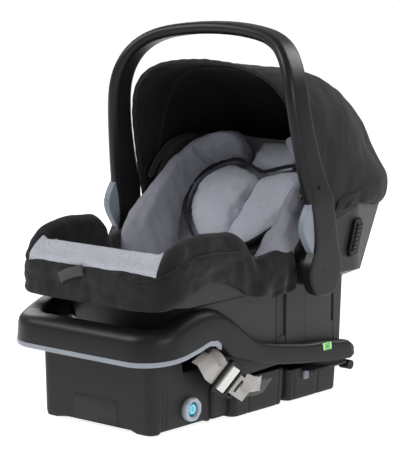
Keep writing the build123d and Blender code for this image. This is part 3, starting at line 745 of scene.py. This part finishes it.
def handle_rows():
    path = handle_stations + [(-x, y, z, deep) for x, y, z, deep in reversed(handle_stations[:-1])]
    rows = []
    for i, (x, y, z, deep) in enumerate(path):
        before = Vector(path[max(i - 1, 0)][:3])
        after = Vector(path[min(i + 1, len(path) - 1)][:3])
        along = (after - before).normalized()
        if z < 262:
            along = Vector((0, 0, 1 if x > 0 else -1))
        flat = float(np.interp(z, [341, 350], [1, 0]))
        rows.append(handle_ring(x, y, z, deep, along, flat))
    return rows


handle = skin("carry_handle", handle_rows(), handle_plastic, subdivide=1)
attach(handle, "handle")
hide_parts("handle")
settle("handle_bosses", handle_plastic, 0.8 * mm)
for side, word in ((-1, "left"), (1, "right")):
    for index, (y, z, radius) in enumerate(((109, 231, 5.2), (121, 292, 3.6), (97, 366, 2.8))):
        x = 222.2 - max(0, z - 240) * 0.021 - (0.6 if z > 350 else 0)
        rows = []
        for out, share in ((-4, 1), (0.25, 1), (0.4, 0.9), (0.1, 0.72), (-1.6, 0.6), (-1.6, 0.1)):
            rows.append(around_x(side * (x + out), y, z, radius * share, 24))
        head = skin(f"handle_screw_{word}_{index + 1}", rows, hard_black)
        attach(head, "handle")
        if index == 1 and side == 1:
            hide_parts("handle_screws")
for node in ("handle_spring_left", "handle_spring_right"):
    settle(node, steel, 0)

# Each release button is a lens-shaped grip with fine upright ridges, let into the front of the arm.
button_front = [
    (86, 256), (77.5, 264), (68, 277), (60.5, 290), (57, 300), (56.8, 310), (60.5, 321), (66, 331),
    (71.5, 339),
    (76, 343),
]
for side, word in ((-1, "left"), (1, "right")):
    rows = []
    for across in (-6.6, -6.2, -5, -3.4, -1.7, 0, 1.7, 3.4, 5, 6.2, 6.6):
        ridge = 0.5 if across in (-3.4, 0, 3.4) else 0
        sink = 1.5 if abs(across) > 6.4 else (0.4 if abs(across) > 6 else 0)
        x = side * (210 + across)
        front = [(x, y + sink - ridge, z) for y, z in button_front]
        rows.append(front + [(x, 96, 343 - sink), (x, 98, 300), (x, 96, 256 + sink)])
    grip = skin("release_grip_" + word, rows, button_grey)
    grip.modifiers.new("edges", "EDGE_SPLIT").split_angle = math.radians(42)
    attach(grip, "handle_button_" + word)
    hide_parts("handle_button_" + word)

# ---------------------------------------------------------------- seat cover
# One padded cover of black woven polyester wraps the foot end: over the two wings, round the front, and back
# to the hubs, where an elastic hem gathers it under the shell. It is sewn from panels and held by its hem.


def woven(name, colour, thread=0.9 * mm, rough=0.8, sheen=0.14, slub=0.3, depth=0.08 * mm):
    """Plain-woven cloth: crossing threads, thicker ones here and there, and small soft puckers."""
    made, shader, place = new_material(name, Sheen_Weight=sheen, Sheen_Roughness=0.45, IOR=1.33)
    x, y, z = place.split()
    crossings = ((x, y), (y, z), (z, x))
    first, second, third = (warp.sine(thread) * weft.cosine(thread) for warp, weft in crossings)
    weave = first + second + third
    tone = place.noise(40 * mm, 3)
    pucker = place.noise(13 * mm, 2)
    heather = place.noise(thread * 2.4, 2)
    mottle = weave * 0.14 + 0.5 - slub / 2 + heather * slub + tone * 0.3 - 0.15
    feed(
        shader,
        Base_Color=mottle.blend(shade(colour, 0.7), shade(colour, 1.35)),
        Roughness=rough - 0.05 + tone * 0.1,
        Normal=weave.bump(depth, pucker.bump(1.0 * mm)),
    )
    return made


black_cloth = woven("black_cloth", (0.0075, 0.0075, 0.0088))
cover_lines = [
    # plan x, y; then inward distance and height, from the hem up the outside, over the crest and down inside
    (179, 84, 5, 205, 1, 200, -2, 226, 0, 244, 3, 256, 9, 268, 15, 266, 19, 256, 22, 240),
    (178, 42, 5, 201, 1, 195, -4, 218, -2, 238, 3, 254, 10, 266, 17, 264, 21, 254, 24, 238),
    (175, 14, 5, 200, 1, 195, -4, 215, -1, 236, 5, 253, 13, 262, 20, 260, 26, 248, 30, 232),
    (171.5, -6, 6, 204, 2, 199, -3, 216, 0, 238, 6, 253, 15, 261, 23, 258, 30, 244, 36, 228),
    (170, -24, 7, 210, 2, 206, -2, 226, 0, 260, 7, 284, 18, 291, 30, 284, 38, 258, 46, 224),
    (168.5, -40, 7, 220, 2, 216, -1, 236, 1, 272, 8, 296, 20, 302.5, 32, 295, 39, 266, 46, 224),
    (166, -72, 7, 233, 2, 230, -1, 246, 1, 278, 8, 300, 20, 307, 33, 300, 40, 270, 47, 224),
    (163.5, -112, 7, 234, 2, 231, -2, 248, 1, 280, 8, 302, 20, 309, 33, 302, 40, 274, 47, 232),
    (161, -146, 6, 222, 2, 219, -3, 242, 1, 276, 8, 298, 20, 305.5, 33, 298, 40, 272, 47, 246),
    (157.5, -174, 5, 211, 1, 208, -4, 235, 1, 268, 8, 289, 19, 297, 32, 291, 40, 270, 47, 250),
    (149, -194, 5, 204, 1, 202, -4, 230, 0, 258, 7, 275, 18, 284, 32, 284, 42, 270, 50, 250),
    (134, -206, 5, 202, 1, 200, -3, 227, 0, 249, 6, 261, 18, 270, 35, 281, 46, 272, 55, 250),
    (114, -211.5, 5, 201, 1, 199, -2, 225, 0, 246, 5, 256, 22, 267, 40, 281, 50, 272, 60, 250),
    (60, -213.5, 5, 201, 1, 199, -1, 224, 0, 245, 6, 256, 23, 268, 41, 281, 51, 272, 61, 250),
    (0, -214, 5, 201, 1, 199, -1, 224, 0, 245, 6, 256, 23, 268, 41, 281, 51, 272, 61, 250),
]
half_line = [(x, y, 0) + tuple(rest) for x, y, *rest in cover_lines]
whole_line = half_line + [(-x, y, z) + tuple(rest) for x, y, z, *rest in reversed(half_line[:-1])]


def rumple(point, seed, size):
    """A smooth random push, from -1 to 1, the same on every run."""
    return noise.noise(Vector(point) / size + Vector((seed * 7.3, seed * 3.1, seed * 5.7)))


def cover_rows(count=150, across=44):
    stations = through(whole_line, count)
    rows = []
    for i, station in enumerate(stations):
        ahead = Vector(stations[min(i + 1, count - 1)][:3] - stations[max(i - 1, 0)][:3]).normalized()
        inward = ahead.cross(Vector((0, 0, 1)))
        x, y = station[0], station[1]
        profile = [(station[k], station[k + 1], 0) for k in range(3, len(station), 2)]
        outer = through(profile, across)
        row = []
        for j, (d, z, _) in enumerate(outer):
            share = j / (across - 1)
            here = Vector((x, y, z)) + inward * d
            gathered = float(np.interp(y, [-52, -5], [0, 1])) * max(0.0, 1 - abs(share - 0.16) / 0.22)
            low = max(0.0, 1 - share / 0.35)
            wave = math.sin(i * 1.05 + 1.8 * math.sin(i * 0.23)) * (4.2 * gathered + 0.6 * low)
            soft = 3.4 * rumple((here.x, here.y, here.z * 0.55), 1, 34) + 1.7 * rumple(here, 2, 14)
            pull = 3.0 * rumple((here.x * 0.4 + here.y * 0.3, here.z * 1.6, 0), 3, 20)
            free = min(1, 0.25 + 1.6 * (1 - share))
            row.append(here - inward * (wave + (soft + pull) * free) + Vector((0, 0, wave * 0.6)))
        rows.append(row)
    return rows


def cloth_piece(name, rows, finish, thickness, subdivide=1):
    """Padded cloth drawn over rows of points, with its thickness on the inside."""
    piece = skin(name, rows, finish, around=False)
    pad = piece.modifiers.new("padding", "SOLIDIFY")
    pad.thickness = thickness * mm
    pad.offset = -1
    pad.use_rim = True
    rounder = piece.modifiers.new("rounder", "SUBSURF")
    rounder.levels = subdivide
    rounder.render_levels = subdivide
    return piece


cover = cloth_piece("seat_cover_wrap", cover_rows(), black_cloth, 3)
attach(cover, "carrier")
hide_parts("seat_cover", "wing_pads")


def tube(name, line, radius, finish, around=10, count=None):
    """A round tube along a smooth line, with closed ends."""
    line = through(line, count or len(line) * 8)
    rows = []
    side = Vector((0, 0, 1))
    for i, here in enumerate(line):
        ahead = Vector(line[min(i + 1, len(line) - 1)] - line[max(i - 1, 0)]).normalized()
        if abs(ahead.dot(side)) > 0.95:
            side = Vector((0, 1, 0))
        side = (side - ahead * side.dot(ahead)).normalized()
        other = ahead.cross(side)
        r = radius * (0.4 if i in (0, len(line) - 1) else 1)
        turns = [2 * math.pi * k / around for k in range(around)]
        rows.append([Vector(here) + (side * math.cos(turn) + other * math.sin(turn)) * r for turn in turns])
    return skin(name, rows, finish)


# A seam runs round the wings just under the crest, with a corded edge.
stations = through(whole_line, 90)
seam_line = []
for i, station in enumerate(stations):
    ahead = Vector(stations[min(i + 1, 89)][:3] - stations[max(i - 1, 0)][:3]).normalized()
    inward = ahead.cross(Vector((0, 0, 1)))
    inset, height = station[9] - 0.4, station[10]
    seam_line.append(Vector((station[0], station[1], 0)) + inward * inset + Vector((0, 0, height)))
for side, word, part in ((1, "right", seam_line[10:35]), (-1, "left", seam_line[55:80])):
    cord = tube("cover_seam_" + word, [tuple(p) for p in part], 1.5, black_cloth, 8, 120)
    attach(cord, "carrier")
rim_edge = [
    (164, 116, 350), (159, 132, 380), (153, 152, 402), (148, 178, 413), (145, 230, 412), (138, 286, 408),
]
for side, word in ((-1, "left"), (1, "right")):
    edge = tube("cover_rim_edge_" + word, [(side * x, y, z - 2) for x, y, z in rim_edge], 5, black_cloth, 12)
    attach(edge, "carrier")

# ---------------------------------------------------------------- foot panel
# A strip of pale heathered knit is sewn across the sloping front of the cover. It follows the cover closely,
# with a turned edge all round.

knit = woven("heather_knit", (0.50, 0.525, 0.58), 1.3 * mm, 0.85, 0.3, 0.9, 0.18 * mm)
bpy.context.view_layer.update()
cover_now = cover.evaluated_get(bpy.context.evaluated_depsgraph_get())
cover_tree = BVHTree.FromPolygons(
    [cover_now.matrix_world @ v.co for v in cover_now.data.vertices],
    [tuple(p.vertices) for p in cover_now.data.polygons],
)
slope_out = Vector((0, -0.55, 0.83))


def on_cover(x, y, z, lift):
    """The point of the cover under a place on the front slope, lifted off it, in millimetres."""
    start = Vector((x, y, z)) * mm + slope_out * 30 * mm
    hit = cover_tree.ray_cast(start, -slope_out, 80 * mm)[0]
    if hit is None:
        hit = cover_tree.find_nearest(Vector((x, y, z)) * mm)[0]
    return hit / mm + slope_out * lift


rows = []
for i in range(75):
    u = -1 + 2 * i / 74
    row = []
    for j in range(17):
        v = j / 16
        half = 138 - 8 * v
        bow = 1.5 * (1 - u * u)
        y = -207.5 + 37 * v - bow * (1 - v)
        z = 256 + 25 * v
        edge = min((1 - abs(u)) * 30, v * 12, (1 - v) * 12, 1)
        puff_up = 1.2 + 2.2 * math.sqrt(max(0.0, edge)) + 0.8 * rumple((u * half, v * 40, 3), 5, 18)
        row.append(on_cover(u * half, y, z, puff_up if edge > 0 else -0.6))
    rows.append(row)
foot_panel = cloth_piece("foot_panel_knit", rows, knit, 1.5)
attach(foot_panel, "carrier")
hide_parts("foot_panel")

# The loose end of the harness adjuster strap lies over the front of the cover, under the panel.
loop_line = [(-6, -214, 250), (-22, -215.5, 246), (-40, -216, 240), (-54, -216, 233)]
loop_lean = (Vector((0.3, 0, 1)), Vector((-0.25, 0, 1)))
pull_tab = tape("adjuster_pull_tab", loop_line, 17, 1.8, black_webbing, loop_lean, 20, 1)
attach(pull_tab, "carrier")
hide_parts("adjuster_strap")

# ---------------------------------------------------------------- seat liner and side bolsters
# A slate satin liner covers the seat and back. Thick foam bolsters in the same satin stand up each side of
# it, and turn in at the top, beside the head.

seat_origin = Vector((0, 129, 264))
up_slope = Vector((0, math.cos(math.radians(44)), math.sin(math.radians(44))))
off_slope = Vector((0, -math.sin(math.radians(44)), math.cos(math.radians(44))))
slate_satin = woven("slate_satin", (0.225, 0.23, 0.272), 0.7 * mm, 0.5, 0.4, 0.12, 0.03 * mm)


def on_back(x, up, out):
    """A place on the reclined back: across, up the slope, and off it."""
    return seat_origin + Vector((x, 0, 0)) + up_slope * up + off_slope * out


def puff(piece, voxel, pressure, cap):
    """Inflate a padded piece with a cloth simulation, and keep each point near where it was drawn."""
    finer = piece.modifiers.new("remesh", "REMESH")
    finer.mode = "VOXEL"
    finer.voxel_size = voxel * mm
    finer.use_smooth_shade = True
    bpy.context.view_layer.update()
    mesh = bpy.data.meshes.new_from_object(piece.evaluated_get(bpy.context.evaluated_depsgraph_get()))
    piece.modifiers.clear()
    piece.data = mesh
    drawn = np.empty(len(mesh.vertices) * 3)
    mesh.vertices.foreach_get("co", drawn)
    cloth = piece.modifiers.new("cloth", "CLOTH")
    cloth.settings.quality = 5
    cloth.settings.mass = 0.3
    cloth.settings.tension_stiffness = 12
    cloth.settings.compression_stiffness = 12
    cloth.settings.shear_stiffness = 4
    cloth.settings.bending_stiffness = 0.4
    cloth.settings.use_pressure = True
    cloth.settings.uniform_pressure_force = pressure
    cloth.settings.effector_weights.gravity = 0
    cloth.collision_settings.use_collision = False
    cloth.point_cache.frame_start = 1
    cloth.point_cache.frame_end = 20
    for step in range(1, 21):
        bpy.context.scene.frame_set(step)
    moved_mesh = piece.evaluated_get(bpy.context.evaluated_depsgraph_get()).to_mesh()
    moved = np.empty(len(drawn))
    moved_mesh.vertices.foreach_get("co", moved)
    piece.modifiers.clear()
    bpy.context.scene.frame_set(1)
    push = (moved - drawn).reshape(-1, 3)
    far = np.linalg.norm(push, axis=1, keepdims=True)
    push *= np.minimum(1, cap * mm / np.maximum(far, 1e-9))
    mesh.vertices.foreach_set("co", (drawn.reshape(-1, 3) + push).ravel())
    mesh.update()
    mesh.polygons.foreach_set("use_smooth", [True] * len(mesh.polygons))
    rounder = piece.modifiers.new("rounder", "SUBSURF")
    rounder.levels = 1
    rounder.render_levels = 1


def sew(piece, line, groove, width, gather, reach, pitch):
    """Pull a seam into a pad along a line, with small gathers that fade away from it."""
    mesh = piece.data
    line = through(line, 160)
    lengths = np.concatenate([[0], np.cumsum(np.linalg.norm(np.diff(line, axis=0), axis=1))])
    places = np.array([v.co for v in mesh.vertices]) / mm
    normals = np.array([v.normal for v in mesh.vertices])
    gaps = np.linalg.norm(places[:, None, :] - line[None, :, :], axis=2)
    nearest = gaps.argmin(axis=1)
    gap = gaps.min(axis=1)
    along = lengths[nearest]
    wobble = np.sin(along * 2 * np.pi / pitch + 1.7 * np.sin(along * 2 * np.pi / (pitch * 3.7)))
    push = -groove * np.exp(-((gap / width) ** 2)) + gather * wobble * np.exp(-((gap / reach) ** 2))
    mesh.vertices.foreach_set("co", ((places + normals * push[:, None]) * mm).ravel())
    mesh.update()


def wrinkle(piece, depth, size, seed, squeeze=(1, 1, 1)):
    """Soft folds all over a pad. squeeze shortens the folds along an axis."""
    mesh = piece.data
    for vertex in mesh.vertices:
        here = vertex.co / mm
        push = rumple((here.x * squeeze[0], here.y * squeeze[1], here.z * squeeze[2]), seed, size)
        vertex.co = (here + vertex.normal * depth * push) * mm
    mesh.update()


liner_path = [
    (-171, 277), (-158, 266), (-120, 238), (-60, 210), (0, 193), (40, 188), (72, 190), (90, 206), (150, 263),
    (210, 321), (262, 372), (300, 408),
]
liner_spine = through([(y, z, 0) for y, z in liner_path], 70)
rows = []
for i, (y, z, _) in enumerate(liner_spine):
    ahead = liner_spine[min(i + 1, 69)] - liner_spine[max(i - 1, 0)]
    ahead = ahead / np.linalg.norm(ahead)
    row = []
    for j in range(41):
        u = -1 + j / 20
        half = float(np.interp(y, [-172, -100, 60, 120, 300], [114, 108, 108, 122, 126]))
        rise = 9 * max(0, abs(u) - 0.55) ** 2 / 0.2 + 1.2 * rumple((u * half, y, z), 9, 26)
        rise -= 10 * math.exp(-((u * half / 22) ** 4) - ((y + 113) / 24) ** 4)
        row.append((u * half, y - ahead[1] * rise, z + ahead[0] * rise))
    rows.append(row)
liner = cloth_piece("seat_liner_pad", rows, slate_satin, 5)
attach(liner, "carrier")
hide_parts("seat_liner")

bolster_stations = [
    # inner foot, crest and outer edge, each as across, up and off the slope
    (74, -112, -14, 140, -114, 46, 158, -106, 16), (84, -70, -10, 150, -74, 67, 171, -68, 42),
    (98, -24, -5, 150, -24, 75, 173, -22, 52), (111, 25, -2, 145, 25, 78, 168, 25, 58),
    (117, 70, -1, 141, 71, 77, 158, 72, 58), (116, 104, -1, 135, 108, 74, 152, 114, 54),
    (105, 130, -1, 121, 136, 70, 137, 154, 48), (86, 146, -1, 97, 153, 68, 108, 176, 46),
    (64, 154, 0, 68, 160, 65, 73, 186, 42), (50, 156, -2, 48, 161, 54, 48, 188, 34),
]
for side, word in ((-1, "left"), (1, "right")):
    rows = []
    for station in through(bolster_stations, 34):
        foot, crest, outer = Vector(station[:3]), Vector(station[3:6]), Vector(station[6:])
        fullness = ((0.25, 3), (0.5, 6), (0.78, 5))
        inner_wall = [foot.lerp(crest, share) + Vector((0, 0, lift)) for share, lift in fullness]
        shoulder = crest.lerp(outer, 0.45) + (crest - foot).normalized() * 5
        outer_wall = Vector((min(outer.x, 160), outer.y, 4))
        under = Vector((min(outer.x, 152), outer.y, -20)).lerp(Vector((foot.x, foot.y, -20)), 0.4)
        ring = [foot, *inner_wall, crest, shoulder, outer, outer_wall, under, Vector((foot.x, foot.y, -18))]
        rows.append([on_back(side * p.x, p.y, p.z) for p in ring])
    bolster = skin("side_bolster_" + word + "_pad", rows, slate_satin, subdivide=2)
    puff(bolster, 5, 3.5, 5)
    foot_line = [tuple(on_back(side * s[0], s[1], s[2] + 5)) for s in bolster_stations]
    wrinkle(bolster, 3.2, 30, 11 + side, (1.0, 1.5, 0.6))
    wrinkle(bolster, 1.3, 12, 14 + side, (0.6, 1.4, 0.8))
    sew(bolster, foot_line, 2.5, 6, 1.5, 16, 15)
    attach(bolster, "carrier")
    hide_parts("side_bolster_" + word)

# ---------------------------------------------------------------- body insert and head panel
# Two pale satin pads meet in a deep seam down the middle, with black piping round their outer edge. A smaller
# pad of the same cloth lies behind the head.

pale_satin = woven("pale_satin", (0.45, 0.475, 0.54), 0.7 * mm, 0.5, 0.4, 0.12, 0.03 * mm)
# edges of one half, as up the slope and across
insert_inner = [
    (-19, 41), (-14, 12), (-6, -3), (6, -6), (112, -6), (125, -4), (131, 16), (140, 44), (145, 64),
]
insert_outer = [
    (-19, 45), (-9, 66), (12, 86), (33, 103), (55, 113), (82, 117), (105, 113), (124, 102), (139, 86),
    (145, 69),
]


def quilted(name, inner, outer, thickness, finish, lift, side=1):
    """A crowned pad on the reclined back, between two edges. lift is its underside's height."""
    low, high = inner[0][0], inner[-1][0]
    rows = []
    for i in range(33):
        v = -math.cos(math.pi * i / 32)
        up = (low + high) / 2 + (high - low) / 2 * v
        start, end = height_at(inner, up), height_at(outer, up)
        crown = thickness * math.sqrt(max(0.02, 1 - abs(v) ** 3))
        top = []
        for j in range(17):
            u = -math.cos(math.pi * j / 16)
            x = (start + end) / 2 + (end - start) / 2 * u
            swell = crown * math.sqrt(max(0.0, 1 - abs(u) ** 2.6))
            top.append(on_back(side * x, up, lift(x, up) + 1 + swell))
        places = [start + (end - start) * share for share in (0.9, 0.7, 0.5, 0.3, 0.1)]
        rows.append(top + [on_back(side * x, up, lift(x, up) - 3) for x in places])
    return skin(name, rows, finish, subdivide=1)


def cradle(x, up):
    """The insert's edges ride up the feet of the bolsters."""
    return 9 * (x / 110) ** 2 - 3


piping_line = [
    (0, -12), (50, -21), (86, 8), (106, 32), (116, 58), (119.5, 84), (114, 108), (102, 128),
    (86, 143), (66, 150),
    (40, 146), (16, 137), (0, 132),
]
for side, word in ((-1, "left"), (1, "right")):
    pad = quilted(f"body_insert_{word}_pad", insert_inner, insert_outer, 15, pale_satin, cradle, side)
    puff(pad, 4.5, 4, 5)
    wrinkle(pad, 1.6, 22, 21 + side, (1.4, 0.8, 0.8))
    wrinkle(pad, 0.6, 8, 24 + side, (0.7, 1.4, 1.0))
    outer_seam = [tuple(on_back(side * x, up, cradle(x, up) + 3)) for up, x in insert_outer]
    middle_seam = [tuple(on_back(side * x, up, cradle(x, up) + 5)) for up, x in insert_inner[3:6]]
    sew(pad, outer_seam, 0.6, 5, 1.1, 13, 13)
    sew(pad, middle_seam, 0.4, 5, 1.0, 12, 15)
    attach(pad, "carrier")
    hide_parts("body_insert_" + word)
    pipe_path = [tuple(on_back(side * x, up, cradle(x, up) + 10)) for x, up in piping_line]
    pipe = tube("insert_piping_" + word, pipe_path, 3.2, black_cloth, 10)
    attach(pipe, "carrier")

head_edge = [(149, 42), (152, 48), (180, 51), (206, 49), (211, 42)]


def head_lift(x, up):
    return 4 * (x / 50) ** 2 - 12


head_pad = quilted("head_panel_pad", [(up, -x) for up, x in head_edge], head_edge, 8, pale_satin, head_lift)
puff(head_pad, 4.5, 3, 5)
wrinkle(head_pad, 1.0, 20, 31)
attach(head_pad, "carrier")
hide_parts("head_panel")

foam, foam_shader, place = new_material("bead_foam")
cells = place.node("TexVoronoi", sockets={"Vector": place, "Scale": 1 / (3.5 * mm)})
feed(
    foam_shader,
    Base_Color=cells.blend((0.085, 0.085, 0.09), (0.055, 0.055, 0.06)),
    Roughness=0.85 + cells * 0.1,
    Normal=cells.bump(0.3 * mm),
)
under_rim("seat_foam", "seat_foam_block", foam, 0, 3)

# ---------------------------------------------------------------- harness
# Woven black straps come over the shoulders and from the hips to steel tongues in a buckle with a red button.
# A lever at the foot end lets the strap that tightens them run.

for side in ("left", "right"):
    settle("shoulder_strap_" + side, black_webbing, 0.5 * mm)
    settle("hip_strap_" + side, black_webbing, 0.5 * mm)
settle("crotch_strap", black_webbing, 0.5 * mm)
for node in ("buckle_tongue_left", "buckle_tongue_right"):
    settle(node, steel, 0.4 * mm)
settle("buckle", hard_black, 1.5 * mm)
settle("adjuster_lever", hard_black, 0.8 * mm)
settle("buckle_button", moulded("button_red", (0.50, 0.02, 0.02), 0.35, 0.8 * mm, 0.03 * mm, 0.4), 0.8 * mm)

# ---------------------------------------------------------------- canopy
# One curved sheet of black cloth is stretched over hoops that turn on the carrier's sides. It has a wide
# bound edge at the front, a fold behind the last hoop, and a skirt that wraps under the head end.

canopy_pivot = Vector((0, 125, 265))
front_angle = 101.7
mid_angle = 78
rear_angle = 36
arch_line = [  # across, and out from the pivot line
    (180, 100), (178.5, 150), (173, 205), (160, 243), (136, 270), (104, 286), (60, 295), (0, 299.5),
]
arch_count = 61


def arch(angle, low):
    """Points over a hoop from the +X side to the other, at an angle up from the rear."""
    half = [tuple(point) for point in through([(179, low)] + arch_line, arch_count)]
    lean = math.radians(angle)
    return [
        Vector((x, canopy_pivot.y + r * math.cos(lean), canopy_pivot.z + r * math.sin(lean)))
        for x, r in half + [(-x, r) for x, r in reversed(half[:-1])]
    ]


def on_canopy(angle, i):
    """The i-th point over the cloth, from the +X side to the other, at an angle up from the rear."""
    p = arch(angle, float(np.interp(angle, [rear_angle, 60, front_angle], [66, 52, 46])))[i]
    sag = float(np.interp(angle, [rear_angle, 44, 52, 62, 74, 92, front_angle], [5, 3, 4, 7, 16, 14, 0]))
    tuck = float(np.interp(angle, [rear_angle, 42, 50, 64], [12, 10, 6, 0]))
    outward = Vector((0, p.y - canopy_pivot.y, p.z - canopy_pivot.z)).normalized()
    corner = math.exp(-(((abs(p.x) - 156) / 15) ** 2))
    held_in = tuck * (0.35 + 0.65 * corner) * min(1, abs(p.x) / 60)
    p = p - outward * (sag * max(0.0, 1 - (p.x / 128) ** 2) + held_in)
    return p - Vector((math.copysign(tuck * 0.75 * corner, p.x), 0, 0))


canopy_black = woven("canopy_black", (0.0060, 0.0060, 0.0078), 0.8 * mm, 0.72, 0.06, 0.2, 0.05 * mm)
rows = []
for step in range(34):
    angle = front_angle - (front_angle - rear_angle) * step / 33
    row = []
    for i in range(2 * arch_count - 1):
        p = on_canopy(angle, i)
        across = i / (2 * arch_count - 2)
        out = Vector((p.x * 1.4, (p.y - canopy_pivot.y), (p.z - canopy_pivot.z))).normalized()
        near_front = math.exp(-(((front_angle - angle - 3) / 5) ** 2))
        at_side = 0.2 + 0.8 * abs(2 * across - 1) ** 1.5
        pleat = 3.4 * near_front * math.sin(i * 1.1 + 2 * math.sin(i * 0.31)) * at_side
        soft = 3.0 * rumple((p.x * 0.7, p.y, p.z), 41, 46) + 1.5 * rumple((p.x, p.y * 1.3, p.z * 0.6), 42, 19)
        hold = min(1, step / 3, (33 - step) / 2.5)
        row.append(p + out * (pleat + soft * hold))
    rows.append(row)
crease = rows[-1]
bulge_line = [
    (178, 196, 333), (179, 262, 342), (172, 318, 346), (148, 375, 349), (104, 417, 349),
    (55, 433, 349), (0, 436, 349),
]
hem_line = [
    (175, 190, 308), (175.5, 262, 320), (166, 305, 311), (142, 352, 303), (104, 388, 300),
    (55, 397, 299), (0, 398, 299),
]
bulge_half = through(bulge_line, arch_count)
hem_half = through(hem_line, arch_count)
tuck_half = [h * 0.62 + b * 0.38 for h, b in zip(hem_half, bulge_half)]
tuck_half = [t + np.array((0.6, 9, -7)) * min(1, i / 18) for i, t in enumerate(tuck_half)]
bulge_half[:, 0] += 0.4
bulge, under_bulge, hem = (
    [Vector(p) for p in half] + [Vector((-x, y, z)) for x, y, z in reversed(half[:-1])]
    for half in (bulge_half, tuck_half, hem_half)
)
for i in range(len(crease)):
    control = (crease[i], crease[i].lerp(bulge[i], 0.5), bulge[i], under_bulge[i], hem[i])
    column = through([tuple(point) for point in control], 17)
    for k in range(1, 17):
        if i == 0:
            rows.append([])
        p = Vector(column[k])
        soft = 1.8 * rumple(p, 43, 38) + 0.8 * rumple(p, 44, 15)
        gathers = 1.6 * math.sin(i * 0.95 + 1.6 * math.sin(i * 0.21)) * (k / 16) ** 2
        away = Vector((p.x, p.y - 240, 0)).normalized()
        rows[33 + k].append(p + away * (soft + gathers))
canopy = cloth_piece("canopy_cloth", rows, canopy_black, 2.2)
bpy.context.view_layer.update()
canopy_mesh = bpy.data.meshes.new_from_object(canopy.evaluated_get(bpy.context.evaluated_depsgraph_get()))
canopy.modifiers.clear()
canopy.data = canopy_mesh
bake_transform(canopy)
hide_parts("canopy_front", "canopy_rear", "canopy_skirt")

lean = math.radians(front_angle)
front_out = Vector((0, -math.sin(lean), math.cos(lean)))
upward = Vector((0, math.cos(lean), math.sin(lean)))
section = rounded(-3.4, -7.5, 1.2, 1.2, (1.6, 1.6, 2.0, 2.0), 3)
binding_rows = []
for i in range(2 * arch_count - 1):
    p = on_canopy(front_angle, i)
    height = Vector((0, p.y - canopy_pivot.y, p.z - canopy_pivot.z)).length
    outward = (Vector((p.x, 0, 0)) + upward * height * 0.7).normalized()
    ripple = 0.35 * math.sin(i * 1.6)
    binding_rows.append([p + outward * (u + ripple) - front_out * (-v) for u, v in section])
binding = skin("canopy_edge_binding", binding_rows, black_cloth)
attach(binding, "canopy")
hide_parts("canopy_front_bow")
lining_places = range(12, 2 * arch_count - 13)
lining_path = [tuple(on_canopy(mid_angle, i).lerp(canopy_pivot, 0.016)) for i in lining_places]
lining = tube("canopy_lining_bow", lining_path, 2.4, black_cloth, 10, 120)
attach(lining, "canopy_mid")
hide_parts("canopy_mid_bow")
